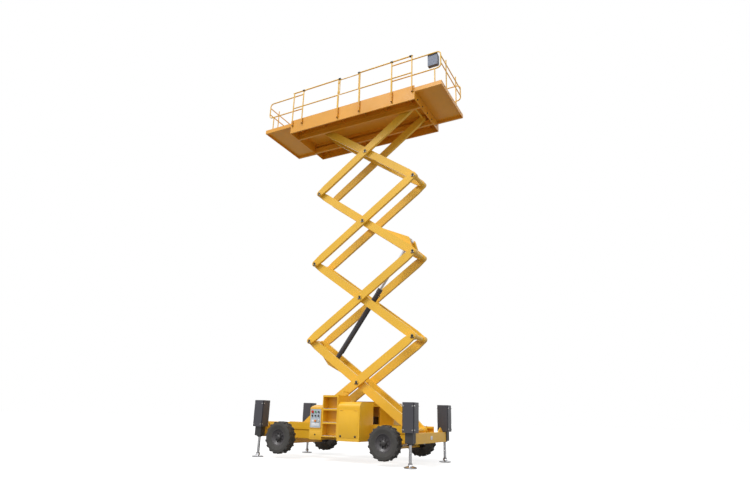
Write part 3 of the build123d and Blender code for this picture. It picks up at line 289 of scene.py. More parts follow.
def painted_steel(name, rgb, low=0.30, high=0.46, dusty=0.0, chips=0.0):
    """Sprayed paint: cloudy fading, fine orange peel, chips, and dust near the ground."""
    s = paint_settings()
    n = Nodes(name)
    cloud = n.span(n.noise(0.9, 4), 0.35, 0.65, 0.0, 1.0)
    shade = n.mix(cloud, scaled(rgb, 1 - s.fade), scaled(rgb, 1 + s.fade * 0.45))
    streak = n.span(n.noise(5.0, 3, 0.6, stretch=(3.0, 3.0, 0.25)), 0.55, 0.80, 0.0, 0.09)
    shade = n.mix(streak, shade, scaled(rgb, 0.62))
    if chips:
        spots = n.span(n.noise(26.0, 5, 0.7), 0.70, 0.74, 0.0, chips)
        shade = n.mix(spots, shade, (0.16, 0.13, 0.11))
    if dusty:
        height = n.add("ShaderNodeSeparateXYZ", Vector=n.place).outputs["Z"]
        low_down = n.span(height, 0.15, 1.15, 1.0, 0.0)
        patches = n.span(n.noise(7.0, 5, 0.65), 0.30, 0.75, 0.15, 1.0)
        dust = n.times(n.times(low_down, patches), s.dust_amount * dusty)
        shade = n.mix(dust, shade, tuple(s.dust))
    n.set(Base_Color=shade, Roughness=n.span(n.noise(3.0, 4), 0.3, 0.7, low, high), Metallic=0.0)
    n.set(Coat_Weight=0.25, Coat_Roughness=0.22)
    n.bump(n.noise(90.0, 2), 0.0003, 0.10)
    return n.material


def deck_paint(name, rgb):
    """Deck paint; surfaces that face up carry raised treads worn to bare steel."""
    s = paint_settings()
    n = Nodes(name)
    cloud = n.span(n.noise(1.1, 4), 0.35, 0.65, 0.0, 1.0)
    shade = n.mix(cloud, scaled(rgb, 1 - s.fade), scaled(rgb, 1 + s.fade * 0.4))
    faces_up = n.add("ShaderNodeSeparateXYZ", Vector=n.add("ShaderNodeNewGeometry").outputs["Normal"])
    up = n.span(faces_up.outputs["Z"], 0.90, 0.95, 0.0, 1.0)
    turned = n.add("ShaderNodeMapping", Vector=n.place)
    turned.inputs["Rotation"].default_value = (0, 0, math.radians(45))
    turned.inputs["Scale"].default_value = (18.0, 46.0, 0.0)
    cells = n.add("ShaderNodeTexVoronoi", Vector=turned.outputs["Vector"], Scale=1.0, Randomness=0.0)
    tread = n.times(n.span(cells.outputs["Distance"], 0.18, 0.36, 1.0, 0.0), up)
    worn = n.times(tread, n.span(n.noise(2.5, 4), 0.42, 0.62, 0.0, 0.75))
    shade = n.mix(worn, shade, (0.30, 0.29, 0.27))
    n.set(Base_Color=shade, Roughness=n.span(n.noise(4.0, 4), 0.3, 0.7, 0.34, 0.52), Coat_Weight=0.2)
    n.bump(tread, 0.0025, 0.8)
    return n.material


def plated_rod(name, rgb):
    """Hard chrome with fine rings from the grinder and a smear of oil."""
    n = Nodes(name)
    rings = n.noise(6.0, 2, 0.5, stretch=(2.0, 2.0, 90.0))
    smear = n.span(n.noise(5.0, 3), 0.40, 0.70, 0.0, 0.35)
    n.set(Base_Color=n.mix(smear, rgb, scaled(rgb, 0.55)), Metallic=1.0)
    n.set(Roughness=n.span(rings, 0.3, 0.7, 0.12, 0.26))
    return n.material


def tyre_rubber(name, rgb):
    """Dull black rubber, greyed by dust in patches."""
    s = paint_settings()
    n = Nodes(name)
    patches = n.span(n.noise(9.0, 5, 0.7), 0.35, 0.75, 0.0, s.dust_amount * 0.35)
    n.set(Base_Color=n.mix(patches, rgb, (0.17, 0.14, 0.11)), Specular_IOR_Level=0.3)
    n.set(Roughness=n.span(n.noise(12.0, 3), 0.3, 0.7, 0.62, 0.86))
    n.bump(n.noise(70.0, 4, 0.6), 0.0014, 0.6)
    return n.material


def moulded_plastic(name, rgb, low=0.36, high=0.52):
    """Plastic with a fine moulded grain."""
    n = Nodes(name)
    cloud = n.span(n.noise(4.0, 3), 0.35, 0.65, 0.0, 1.0)
    n.set(Base_Color=n.mix(cloud, scaled(rgb, 0.88), scaled(rgb, 1.08)))
    n.set(Roughness=n.span(n.noise(30.0, 2), 0.3, 0.7, low, high))
    n.bump(n.noise(420.0, 2), 0.0003, 0.5)
    return n.material


def cast_iron(name, rgb):
    """Rough cast metal with oil stains."""
    n = Nodes(name)
    stain = n.span(n.noise(6.0, 5), 0.40, 0.70, 0.0, 0.8)
    n.set(Base_Color=n.mix(stain, rgb, scaled(rgb, 0.35)), Metallic=0.35)
    n.set(Roughness=n.span(n.noise(18.0, 3), 0.3, 0.7, 0.55, 0.8))
    n.bump(n.noise(90.0, 5, 0.7), 0.0018, 0.7)
    return n.material


def zinc_bolts(name):
    """Zinc-plated steel of bolts, nuts and washers."""
    n = Nodes(name)
    tarnish = n.span(n.noise(35.0, 4), 0.40, 0.70, 0.0, 0.9)
    n.set(Base_Color=n.mix(tarnish, (0.55, 0.55, 0.54), (0.26, 0.24, 0.20)), Metallic=0.9)
    n.set(Roughness=n.span(n.noise(50.0, 2), 0.3, 0.7, 0.32, 0.5))
    return n.material


def dark_pin_steel(name):
    """Oiled dark steel of the pin ends."""
    n = Nodes(name)
    wipe = n.span(n.noise(24.0, 4), 0.40, 0.70, 0.0, 1.0)
    n.set(Base_Color=n.mix(wipe, (0.035, 0.035, 0.04), (0.11, 0.10, 0.09)), Metallic=0.7)
    n.set(Roughness=n.span(n.noise(40.0, 2), 0.3, 0.7, 0.34, 0.55))
    return n.material


def enamel(name, rgb):
    """Smooth enamel of plates and knobs."""
    n = Nodes(name)
    grime = n.span(n.noise(14.0, 4), 0.45, 0.75, 0.0, 0.35)
    n.set(Base_Color=n.mix(grime, rgb, scaled(rgb, 0.6)))
    n.set(Roughness=n.span(n.noise(20.0, 2), 0.3, 0.7, 0.22, 0.4))
    return n.material


def finish(name):
    """The finish of that name, made once."""
    known = bpy.data.materials.get("finish_" + name)
    if known:
        return known
    s = paint_settings()
    label = "finish_" + name
    if name == "chassis_yellow":
        return painted_steel(label, tuple(s.chassis_yellow), dusty=1.0, chips=0.25)
    if name == "arm_yellow":
        return painted_steel(label, tuple(s.arm_yellow), 0.36, 0.52, chips=0.12)
    if name == "rail_yellow":
        return painted_steel(label, tuple(s.rail_yellow), 0.32, 0.48, chips=0.2)
    # The deck yellow carries painted shade: it is a darker, more orange copy of the yellow paint.
    if name == "deck_yellow":
        return deck_paint(label, tuple(s.deck_yellow))
    if name in ("dark_grey", "black", "rim_grey"):
        return painted_steel(label, tuple(getattr(s, name)), 0.38, 0.55, dusty=0.3, chips=0.12)
    if name == "chrome":
        return plated_rod(label, tuple(s.chrome))
    if name == "tyre":
        return tyre_rubber(label, tuple(s.tyre))
    if name in ("panel_blue_grey", "console_blue"):
        return moulded_plastic(label, tuple(getattr(s, name)))
    if name == "engine":
        return cast_iron(label, tuple(s.engine))
    if name == "zinc":
        return zinc_bolts(label)
    if name == "pin_steel":
        return dark_pin_steel(label)
    if name in ENAMELS:
        return enamel(label, ENAMELS[name])
    raise RuntimeError(f"there is no finish named {name}")


# ------------------------------------------------------------------ shapes


def frame_on(origin, axis):
    """Matrix whose local Z points along axis from origin."""
    z = Vector(axis).normalized()
    return Matrix.Translation(origin) @ z.to_track_quat("Z", "Y").to_matrix().to_4x4()


def around(radius, angle, height=0.0):
    """A point at that angle on a circle about local Z."""
    return Vector((radius * math.cos(angle), radius * math.sin(angle), height))


class Piece:
    """One fitting or set of like fittings, built as a mesh and put on a CAD body."""

    def __init__(self):
        self.bm = bmesh.new()

    def turned(self, origin, axis, profile, sides=24, phase=0.0):
        """A turned shape: (radius, height) points along axis, closed where the radius is zero."""
        m = frame_on(origin, axis)
        rings = []
        for radius, height in profile:
            if radius == 0:
                rings.append([self.bm.verts.new(m @ Vector((0, 0, height)))])
                continue
            angles = [phase + math.tau * i / sides for i in range(sides)]
            rings.append([self.bm.verts.new(m @ around(radius, a, height)) for a in angles])
        for low, high in zip(rings, rings[1:]):
            for i in range(sides):
                j = (i + 1) % sides
                if len(low) == 1:
                    self.bm.faces.new((low[0], high[j], high[i]))
                elif len(high) == 1:
                    self.bm.faces.new((low[i], low[j], high[0]))
                else:
                    self.bm.faces.new((low[i], low[j], high[j], high[i]))

    def bolt(self, origin, axis, across, turn=0.0):
        """Hexagon head on a washer, its top chamfered."""
        r = across / 2 / math.cos(math.radians(30))
        head = across * 0.62
        self.turned(origin, axis, ((0, 0), (r * 1.35, 0), (r * 1.35, across * 0.12), (0, across * 0.12)), 20)
        self.turned(
            origin, axis, ((r, across * 0.12), (r, head * 0.88), (r * 0.86, head), (0, head)), 6, turn
        )

    def slab(self, centre, size, edge=0.003, turn=None):
        """A block with rounded-off edges."""
        m = Matrix.Translation(centre) @ (turn if turn else Matrix.Identity(4))
        made = bmesh.ops.create_cube(self.bm, size=1.0)["verts"]
        bmesh.ops.scale(self.bm, vec=size, verts=made)
        edges = list({e for v in made for e in v.link_edges})
        cut = bmesh.ops.bevel(
            self.bm, geom=edges, offset=min(edge, min(size) * 0.3), segments=2, profile=0.5, affect="EDGES"
        )
        verts = {v for f in cut["faces"] for v in f.verts}
        for f in {f for v in verts for f in v.link_faces}:
            verts.update(f.verts)
        bmesh.ops.transform(self.bm, matrix=m, verts=list(verts))

    def rod(self, points, radius, sides=12):
        """A bent bar or pipe through the points, with square ends."""
        points = [Vector(p) for p in points]
        rings = []
        for k, point in enumerate(points):
            before = (point - points[k - 1]).normalized() if k else None
            after = (points[k + 1] - point).normalized() if k + 1 < len(points) else None
            along = (before or after) + (after or before)
            m = frame_on(point, along)
            stretch = 1.0
            if before and after:
                stretch = 1 / max(0.5, math.cos(before.angle(after) / 2))
            ring = [self.bm.verts.new(m @ around(radius, math.tau * i / sides)) for i in range(sides)]
            if stretch > 1.0 and before and after:
                side = before.cross(after)
                if side.length > 1e-6:
                    across = along.cross(side).normalized()
                    for v in ring:
                        offset = (v.co - point).dot(across)
                        v.co += across * offset * (stretch - 1)
            rings.append(ring)
        for low, high in zip(rings, rings[1:]):
            start = min(range(sides), key=lambda s: (high[s].co - low[0].co).length)
            for i in range(sides):
                j = (i + 1) % sides
                a, b = (start + i) % sides, (start + j) % sides
                self.bm.faces.new((low[i], low[j], high[b], high[a]))
        self.bm.faces.new(rings[0][::-1])
        self.bm.faces.new(rings[-1])

    def place(self, name, finish_name, body):
        """Makes the piece an object of that finish, riding on that body."""
        bmesh.ops.recalc_face_normals(self.bm, faces=self.bm.faces)
        mesh = bpy.data.meshes.new(name)
        self.bm.to_mesh(mesh)
        self.bm.free()
        obj = bpy.data.objects.new(name, mesh)
        bpy.context.scene.collection.objects.link(obj)
        mesh.materials.append(finish(finish_name))
        mesh.shade_smooth()
        mesh.set_sharp_from_angle(angle=math.radians(35))
        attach(obj, body)


# ------------------------------------------------------------------ pieces


class LIFT_OT_paint(bpy.types.Operator):
    """Gives every CAD piece its paint, plating, rubber or plastic"""

    bl_idname = "lift.paint"
    bl_label = "Paint the lift"

    def execute(self, context):
        for node, obj in frame["nodes"].items():
            obj.data.materials.clear()
            obj.data.materials.append(finish(SLOT_OF[node]))
        return {"FINISHED"}


def pin_places(stage):
    """X and Z of the pin heads on the outside of an outer frame."""
    centre_x, _, centre_z = JOINTS[f"centre_pins_{stage}"]["pos_m"]
    base_x, _, base_z = JOINTS["scissor_lift"]["pos_m"]
    rise = JOINTS["end_pins_1"]["pos_m"][2] - base_z
    places = [(centre_x, centre_z)]
    if stage > 1:
        places.append((2 * centre_x - base_x, base_z + (stage - 1) * rise))
    if stage < STAGES:
        places.append((base_x, base_z + stage * rise))
    return places


class LIFT_OT_pin_fittings(bpy.types.Operator):
    """Adds the dark pin ends, keeper plates and grease nipples at every pivot"""

    bl_idname = "lift.pin_fittings"
    bl_label = "Pin fittings"

    def execute(self, context):
        s = fitting_settings()
        r = s.pin_cap_r
        cap_edge = ((0, 0), (r, 0), (r, 0.008), (r * 0.82, 0.012))
        cap_hollow = ((r * 0.3, 0.012), (r * 0.22, 0.008), (0, 0.008))
        nipple = ((0.006, 0), (0.006, 0.008), (0.004, 0.012), (0, 0.012))
        bolt_reach = s.keeper_length / 2 * 0.66
        for stage in range(1, STAGES + 1):
            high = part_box(f"outer_arms_{stage}")[1]
            head_y = PIN_HEAD_Y if stage < STAGES else min(high.y, PIN_HEAD_Y)
            # The first stage lies between the rails with the lift down, so its keepers are welded.
            bolts_across = (-bolt_reach, bolt_reach) if stage > 1 else ()
            ends, keepers, bolts = Piece(), Piece(), Piece()
            for x, z in pin_places(stage):
                keeper_z = z - KEEPER_DROP
                for side in (-1, 1):
                    y = side * head_y
                    axis = (0, side, 0)
                    ends.turned((x, y, z), axis, cap_edge + cap_hollow, 28)
                    ends.turned((x, y + side * 0.012, z), axis, nipple, 10)
                    keepers.slab((x, y + side * 0.004, keeper_z), (s.keeper_length, 0.008, 0.026), 0.003)
                    for across in bolts_across:
                        bolts.bolt((x + across, y + side * 0.008, keeper_z), axis, s.bolt_across, 0.3)
            ends.place(f"pin_ends_{stage}", "pin_steel", f"outer_{stage}")
            keepers.place(f"pin_keepers_{stage}", "pin_steel", f"outer_{stage}")
            if bolts_across:
                bolts.place(f"keeper_bolts_{stage}", "zinc", f"outer_{stage}")
        return {"FINISHED"}


def on_wheel(centre, y, radius, angle):
    """A point at that angle on a circle about a wheel's axle."""
    return (centre.x + radius * math.cos(angle), y, centre.z + radius * math.sin(angle))


class LIFT_OT_wheel_fittings(bpy.types.Operator):
    """Adds nuts, hub caps, valves and rim beads to the four wheels"""

    bl_idname = "lift.wheel_fittings"
    bl_label = "Wheel fittings"

    def execute(self, context):
        s = fitting_settings()
        stud = ((0.008, 0), (0.008, 0.012), (0, 0.012))
        hub = ((0.070, 0), (0.070, 0.018), (0.062, 0.030), (0.045, 0.040), (0.020, 0.044), (0, 0.044))
        for corner in CORNERS:
            low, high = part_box(f"rim_{corner}")
            centre = (low + high) / 2
            rim_r = (high.z - low.z) / 2
            side = 1 if centre.y > 0 else -1
            out = (0, side, 0)
            disc_y = centre.y + side * 0.054
            nuts, cap, bead = Piece(), Piece(), Piece()
            for k in range(s.wheel_nuts):
                a = math.tau * (k + 0.5) / s.wheel_nuts
                nuts.bolt(on_wheel(centre, disc_y, s.wheel_nut_circle, a), out, s.wheel_nut_across, a)
                nuts.turned(on_wheel(centre, disc_y + side * 0.015, s.wheel_nut_circle, a), out, stud, 10)
            cap.turned((centre.x, disc_y + side * 0.020, centre.z), out, hub, 32)
            for k in range(HUB_BOLTS):
                a = math.tau * k / HUB_BOLTS
                cap.bolt(on_wheel(centre, disc_y + side * 0.048, 0.052, a), out, 0.011)
            bead_profile = (
                (rim_r - 0.014, -0.004),
                (rim_r - 0.010, 0.004),
                (rim_r - 0.002, 0.0075),
                (rim_r + 0.004, 0.005),
                (rim_r + 0.004, 0.0),
            )
            bead.turned((centre.x, centre.y + side * 0.100, centre.z), out, bead_profile, 64)
            valve = (
                (centre.x + 0.150, disc_y - side * 0.002, centre.z + 0.02),
                (centre.x + 0.152, disc_y + side * 0.022, centre.z + 0.02),
                (centre.x + 0.160, disc_y + side * 0.045, centre.z + 0.021),
            )
            bead.rod(valve, 0.005, 8)
            nuts.place(f"wheel_nuts_{corner}", "pin_steel", f"wheel_{corner}")
            cap.place(f"hub_cap_{corner}", "black", f"wheel_{corner}")
            bead.place(f"rim_bead_{corner}", "rim_grey", f"wheel_{corner}")
        return {"FINISHED"}


class LIFT_OT_jack_fittings(bpy.types.Operator):
    """Adds the gland flanges, pad collars and cover screws of the four jacks"""

    bl_idname = "lift.jack_fittings"
    bl_label = "Jack fittings"

    def execute(self, context):
        s = fitting_settings()
        flange = ((0.075, 0), (0.075, 0.014), (0.060, 0.022), (0.044, 0.022))
        nose = ((0.044, 0.034), (0.0335, 0.034), (0.0335, 0))
        pad_collar = ((0.0335, 0), (0.050, 0.0), (0.052, 0.006), (0.048, 0.016), (0.0335, 0.018))
        for corner in CORNERS:
            low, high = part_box(f"jack_leg_{corner}")
            x, y = (low.x + high.x) / 2, (low.y + high.y) / 2
            side_x = 1 if corner.startswith("front") else -1
            side_y = 1 if y > 0 else -1
            gland, screws, collar = Piece(), Piece(), Piece()
            gland.turned((x, y, GLAND_Z), (0, 0, -1), flange + nose, 32)
            for k in range(4):
                a = math.tau * (k + 0.5) / 4
                spot = (x + 0.066 * math.cos(a), y + 0.066 * math.sin(a), GLAND_SCREW_Z)
                screws.bolt(spot, (0, 0, -1), 0.013, 0.2)
            for ux, uy in ((side_x, 0), (-side_x, 0), (0, side_y)):
                for across in (-0.11, 0.11):
                    screw_x = x + ux * COVER_HALF_X + (across if uy else 0)
                    screw_y = y + uy * COVER_HALF_Y + (across if ux else 0)
                    for z in COVER_SCREW_ROWS:
                        screws.bolt((screw_x, screw_y, z), (ux, uy, 0), s.bolt_across, 0.2)
            collar.turned((x, y, PAD_COLLAR_Z), (0, 0, 1), pad_collar, 28)
            gland.place(f"jack_gland_{corner}", "black", "chassis")
            screws.place(f"jack_screws_{corner}", "zinc", "chassis")
            collar.place(f"jack_collar_{corner}", "dark_grey", f"jack_{corner}")
        return {"FINISHED"}


class LIFT_OT_ground_control(bpy.types.Operator):
    """Adds the knobs, gauge, blank plates and frame of the ground control panel"""

    bl_idname = "lift.ground_control"
    bl_label = "Ground control panel"

    def execute(self, context):
        low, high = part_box("control_panel")
        mid_x, mid_z = (low.x + high.x) / 2, (low.z + high.z) / 2
        face_y = low.y + 0.022
        out = (0, -1, 0)
        caps = {look: Piece() for look in ("red_knob", "amber_knob", "black_knob", "green_knob")}
        for across, up, r, look in PANEL_KNOBS:
            cap = ((r * 0.9, -0.012), (r * 1.25, -0.010), (r * 1.3, 0.0), (r * 1.15, 0.005), (0, 0.006))
            caps[look].turned((mid_x + across, low.y, mid_z + up), out, cap, 24)
        for look, piece in caps.items():
            piece.place(f"panel_{look}", look, "chassis")
        collars = Piece()
        for across, up, r, _ in PANEL_KNOBS:
            collar = ((r * 1.5, 0), (r * 1.5, 0.003), (r, 0.005))
            collars.turned((mid_x + across, face_y, mid_z + up), out, collar, 24)
        gauge = (mid_x + 0.085, face_y, mid_z - 0.06)
        collars.turned(gauge, out, ((0.036, 0), (0.036, 0.012), (0.031, 0.014), (0.031, 0.008)), 32)
        for sx in (-1, 1):
            for sz in (-1, 1):
                collars.bolt((mid_x + sx * 0.137, face_y, mid_z + sz * 0.202), out, 0.010)
        collars.place("panel_collars", "zinc", "chassis")
        face = Piece()
        face.turned(gauge, out, ((0.031, 0.008), (0, 0.009)), 32)
        face.place("gauge_face", "gauge_face", "chassis")
        plates = Piece()
        plates.slab((mid_x, face_y - 0.001, mid_z - 0.145), (0.22, 0.003, 0.075), 0.001)
        plates.slab((mid_x - 0.075, face_y - 0.001, mid_z - 0.062), (0.07, 0.003, 0.055), 0.001)
        plates.place("panel_blank_plates", "white_plate", "chassis")
        rail = Piece()
        rail_y = low.y + 0.030
        for sx in (-1, 1):
            rail.slab((mid_x + sx * 0.156, rail_y, mid_z), (0.012, 0.016, high.z - low.z + 0.02), 0.003)
        for sz in (-1, 1):
            bar_z = mid_z + sz * (high.z - low.z) / 2 + sz * 0.006
            rail.slab((mid_x, rail_y, bar_z), (0.324, 0.016, 0.012), 0.003)
        rail.place("panel_frame", "chassis_yellow", "chassis")
        return {"FINISHED"}


def cover_latch(piece, x, face_y, z, side, grip_out):
    """A round latch and its grip, on a cover whose face looks to that side."""
    piece.turned((x, face_y + side * 0.005, z), (0, side, 0), ROUND_LATCH, 24)
    piece.slab((x, face_y + side * grip_out, z), (0.034, 0.010, 0.009), 0.002)


class LIFT_OT_cover_fittings(bpy.types.Operator):
    """Adds doors, louvres, latches and a blank plate to the boxes on the chassis"""

    bl_idname = "lift.cover_fittings"
    bl_label = "Cover fittings"

    def execute(self, context):
        latches, doors = Piece(), Piece()
        low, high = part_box("tank_cover")
        mid_x = (low.x + high.x) / 2
        door_z = (low.z + high.z - COVER_ROUND) / 2
        doors.slab((mid_x, low.y - 0.001, door_z), (high.x - low.x - 0.08, 0.008, 0.62), 0.004)
        for across in (-0.2, 0.2):
            hinge = [(mid_x + across + half, low.y - 0.008, door_z + 0.315) for half in (-0.04, 0.04)]
            doors.rod(hinge, 0.008)
            cover_latch(latches, mid_x + across, low.y, door_z - LATCH_DROP, -1, 0.017)
        low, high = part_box("engine_cover")
        door_z = (low.z + high.z - COVER_ROUND) / 2
        louvre_tilt = Matrix.Rotation(math.radians(35), 4, "X")
        for k in (-1, 1):
            middle = (low.x + high.x) / 2 + k * (high.x - low.x) / 4
            doors.slab((middle, high.y + 0.001, door_z), ((high.x - low.x) / 2 - 0.05, 0.008, 0.66), 0.004)
            for row in range(LOUVRES):
                louvre_z = door_z + 0.26 - row * 0.035
                doors.slab((middle, high.y + 0.008, louvre_z), (0.34, 0.018, 0.006), 0.002, louvre_tilt)
            cover_latch(latches, middle, high.y, door_z - LATCH_DROP, 1, 0.015)
        low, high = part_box("hydraulic_tank")
        filler = ((0.050, 0), (0.054, 0.004), (0.054, 0.020), (0.046, 0.026), (0, 0.026))
        latches.turned(((low.x + high.x) / 2, high.y - 0.14, high.z - 0.016), (0, 0, 1), filler, 12)
        low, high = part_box("control_box")
        mid_x, hatch_z = (low.x + high.x) / 2, low.z + 0.11
        doors.slab((mid_x, low.y - 0.001, hatch_z), (high.x - low.x - 0.05, 0.006, 0.17), 0.003)
        lock = ((0.018, 0), (0.018, 0.007), (0.012, 0.010), (0, 0.010))
        latches.turned((mid_x, low.y - 0.004, hatch_z), (0, -1, 0), lock, 20)
        doors.place("cover_doors", "chassis_yellow", "chassis")
        latches.place("cover_latches", "black_knob", "chassis")
        plate, rivets = Piece(), Piece()
        front_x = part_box("end_beams")[1].x
        plate.slab((front_x + 0.003, 0.0, 0.605), (0.006, 0.12, 0.080), 0.002)
        plate.place("front_blank_plate", "white_plate", "chassis")
        rivet = ((0.006, 0), (0.005, 0.003), (0, 0.004))
        for y in (-0.048, 0.048):
            for z in (0.577, 0.633):
                rivets.turned((front_x + 0.005, y, z), (1, 0, 0), rivet, 12)
        rivets.place("front_plate_rivets", "zinc", "chassis")
        return {"FINISHED"}


class LIFT_OT_step_treads(bpy.types.Operator):
    """Adds toothed treads and a grab bar to the ladder box"""

    bl_idname = "lift.step_treads"
    bl_label = "Step treads"

    def execute(self, context):
        s = fitting_settings()
        low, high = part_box("step_ladder")
        width = high.x - low.x - 2 * LADDER_WALL
        tread_y = low.y + 0.016
        tooth = ((0.008, 0), (0.006, 0.006), (0.003, 0.006), (0.003, 0.003), (0, 0.003))
        treads = Piece()
        for opening in RECORD["physics"]["openings"]:
            if not opening["name"].startswith("step_pocket"):
                continue
            z = opening["box_m"][0][2] - 0.005
            treads.slab((low.x + LADDER_WALL + width / 2, tread_y, z + 0.004), (width, 0.028, 0.008), 0.002)
            for k in range(s.step_teeth):
                x = low.x + LADDER_WALL + width * (k + 0.5) / s.step_teeth
                treads.turned((x, tread_y, z + 0.007), (0, 0, 1), tooth, 8)
        treads.place("step_treads", "zinc", "chassis")
        bar = Piece()
        grip = ((0.30, -0.004), (0.30, 0.075), (0.33, 0.10), (0.52, 0.10), (0.55, 0.075), (0.55, -0.004))
        bar.rod([(high.x - 0.05, low.y + back, high.z + up) for back, up in grip], 0.012)
        bar.place("step_grab_bar", "chassis_yellow", "chassis")
        return {"FINISHED"}


class LIFT_OT_cylinder_fittings(bpy.types.Operator):
    """Adds the gland bolts, oil ports and feed pipe of the lift cylinder"""

    bl_idname = "lift.cylinder_fittings"
    bl_label = "Cylinder fittings"

    def execute(self, context):
        foot = Vector(JOINTS["lift_barrel_foot"]["pos_m"])
        along = Vector(JOINTS["lift_rod_slide"]["axis"]).normalized()
        across = Vector((0, 1, 0))
        over = along.cross(across).normalized()
        gland = foot + along * GLAND_REACH
        bolts, pipe = Piece(), Piece()
        for k in range(6):
            a = math.tau * k / 6
            spot = gland + (across * math.cos(a) + over * math.sin(a)) * 0.057
            bolts.bolt(spot, along, 0.014, a)
        bolts.place("gland_bolts", "zinc", "lift_barrel")
        port = ((0.022, 0), (0.022, 0.014), (0.015, 0.018), (0.015, 0.034), (0, 0.034))
        top_port = foot + along * TOP_PORT_REACH - over * BARREL_SIDE
        low_port = foot + along * LOW_PORT_REACH - over * BARREL_SIDE
        for spot in (top_port, low_port):
            pipe.turned(spot, -over, port, 16)
        route = (
            top_port - over * 0.030,
            top_port - over * 0.034 - along * 0.010,
            top_port - over * 0.034 - along * 0.040,
            top_port - over * 0.020 - along * 0.10,
            low_port - over * 0.020 + along * 0.20,
        )
        pipe.rod(route, 0.009, 10)
        for share_of_way in (0.25, 0.5, 0.75):
            clip = foot + along * (0.37 + share_of_way * 1.75) - over * 0.080
            pipe.slab(clip + over * 0.008, (0.030, 0.040, 0.014), 0.003, frame_on((0, 0, 0), -over))
        pipe.place("cylinder_pipe", "pin_steel", "lift_barrel")
        return {"FINISHED"}


class LIFT_OT_platform_fittings(bpy.types.Operator):
    """Adds rail latches, sleeve bolts and plugs, end bolts and post feet to the platform"""

    bl_idname = "lift.platform_fittings"
    bl_label = "Platform fittings"

    def execute(self, context):
        s = fitting_settings()
        low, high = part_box("guardrail_far_left")
        deck_low, deck_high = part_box("deck_frame")
        post_y = (low.y + high.y) / 2
        rail_z = high.z - 0.021
        pull = ((0.012, 0), (0.012, 0.012), (0.008, 0.016), (0, 0.016))
        plug = ((0.022, 0), (0.022, 0.003), (0, 0.004))
        latches, sleeve_bolts, plugs, end_bolts = Piece(), Piece(), Piece(), Piece()
        for x in RAIL_LATCHES_X:
            for side in (-1, 1):
                y = side * post_y
                latches.slab((x, y, rail_z), (s.latch_length, 0.052, 0.052), 0.006)
                latches.turned((x, y + side * 0.024, rail_z), (0, side, 0), pull, 14)
        latches.place("rail_latches", "black_knob", "platform")
        for x, _ in POSTS:
            for side in (-1, 1):
                for down in (0.09, 0.19):
                    spot = (x + 0.028, side * (post_y - 0.004), deck_high.z - down)
                    sleeve_bolts.bolt(spot, (1, 0, 0), 0.016)
        sleeve_bolts.place("sleeve_bolts", "zinc", "platform")
        for x, foot in POSTS:
            for side in (-1, 1):
                plugs.turned((x, side * post_y, deck_low.z + foot), (0, 0, -1), plug, 20)
        plugs.place("sleeve_plugs", "pin_steel", "platform")
        for y in (-0.72, -0.36, 0.0, 0.36, 0.72):
            end_bolts.bolt((deck_high.x, y, deck_low.z + 0.10), (1, 0, 0), 0.030)
        end_bolts.place("deck_end_bolts", "pin_steel", "platform")
        for name, out in (("left", -1), ("right", 1)):
            self.dress_extension(name, out)
        return {"FINISHED"}

    def dress_extension(self, name, out):
        """End bolts and post feet of the roll-out deck on that side."""
        low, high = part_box(f"extension_deck_{name}")
        end_x = high.x if out > 0 else low.x
        foot_x = end_x - out * 0.039
        head = ((0.017, 0), (0.017, 0.004), (0.011, 0.006), (0, 0.006))
        bolts, feet = Piece(), Piece()
        for y in (-0.70, -0.35, 0.0, 0.35, 0.70):
            bolts.turned((end_x, y, low.z + 0.065), (out, 0, 0), head, 16)
        bolts.place(f"end_bolts_{name}", "pin_steel", f"extension_{name}")
        for side in (-1, 1):
            for lean in (-0.05, 0.05):
                spot = (foot_x - out * 0.012, side * 0.42 + lean, high.z + 0.030)
                feet.slab(spot, (0.008, 0.05, 0.06), 0.003)
            feet.slab((foot_x, side * 0.86, high.z + 0.004), (0.075, 0.075, 0.008), 0.003)
            feet.slab((foot_x, side * 0.42, high.z + 0.004), (0.070, 0.150, 0.008), 0.003)
        feet.place(f"post_feet_{name}", "rail_yellow", f"extension_{name}")


class LIFT_OT_console(bpy.types.Operator):
    """Adds the face, lever, buttons and frame of the platform console"""

    bl_idname = "lift.console"
    bl_label = "Platform console"

    def execute(self, context):
        low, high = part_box("platform_console")
        mid_x, mid_z = (low.x + high.x) / 2, (low.z + high.z) / 2
        width = high.x - low.x
        face_y = high.y + 0.003
        out = (0, 1, 0)
        button = ((0.013, 0), (0.013, 0.008), (0, 0.010))
        lever_boot = ((0.030, 0), (0.028, 0.010), (0.018, 0.018), (0.008, 0.026), (0.008, 0.060))
        lever_grip = ((0.017, 0.066), (0.019, 0.085), (0.012, 0.100), (0, 0.104))
        mushroom = ((0.012, 0), (0.012, 0.014), (0.024, 0.018), (0.024, 0.028), (0.018, 0.034), (0, 0.036))
        rim, face, stop = Piece(), Piece(), Piece()
        for sx in (-1, 1):
            rim.slab((mid_x + sx * width / 2, high.y - 0.010, mid_z + 0.01), (0.014, 0.030, 0.27), 0.004)
        for sz in (-1, 1):
            bar_z = mid_z + 0.01 + sz * 0.128
            rim.slab((mid_x, high.y - 0.010, bar_z), (width + 0.014, 0.030, 0.014), 0.004)
        rim.place("console_rim", "panel_blue_grey", "extension_right")
        face.slab((mid_x, high.y + 0.001, mid_z + 0.01), (width - 0.03, 0.006, 0.24), 0.002)
        for k in range(4):
            face.turned((mid_x - 0.09 + 0.06 * k, face_y, mid_z - 0.06), out, button, 16)
        face.turned((mid_x + 0.06, face_y, mid_z + 0.06), out, lever_boot + lever_grip, 20)
        face.place("console_face", "black_knob", "extension_right")
        stop.turned((mid_x - 0.08, face_y, mid_z + 0.06), out, mushroom, 24)
        stop.place("console_stop", "red_knob", "extension_right")
        return {"FINISHED"}


# ------------------------------------------------------------------ stage


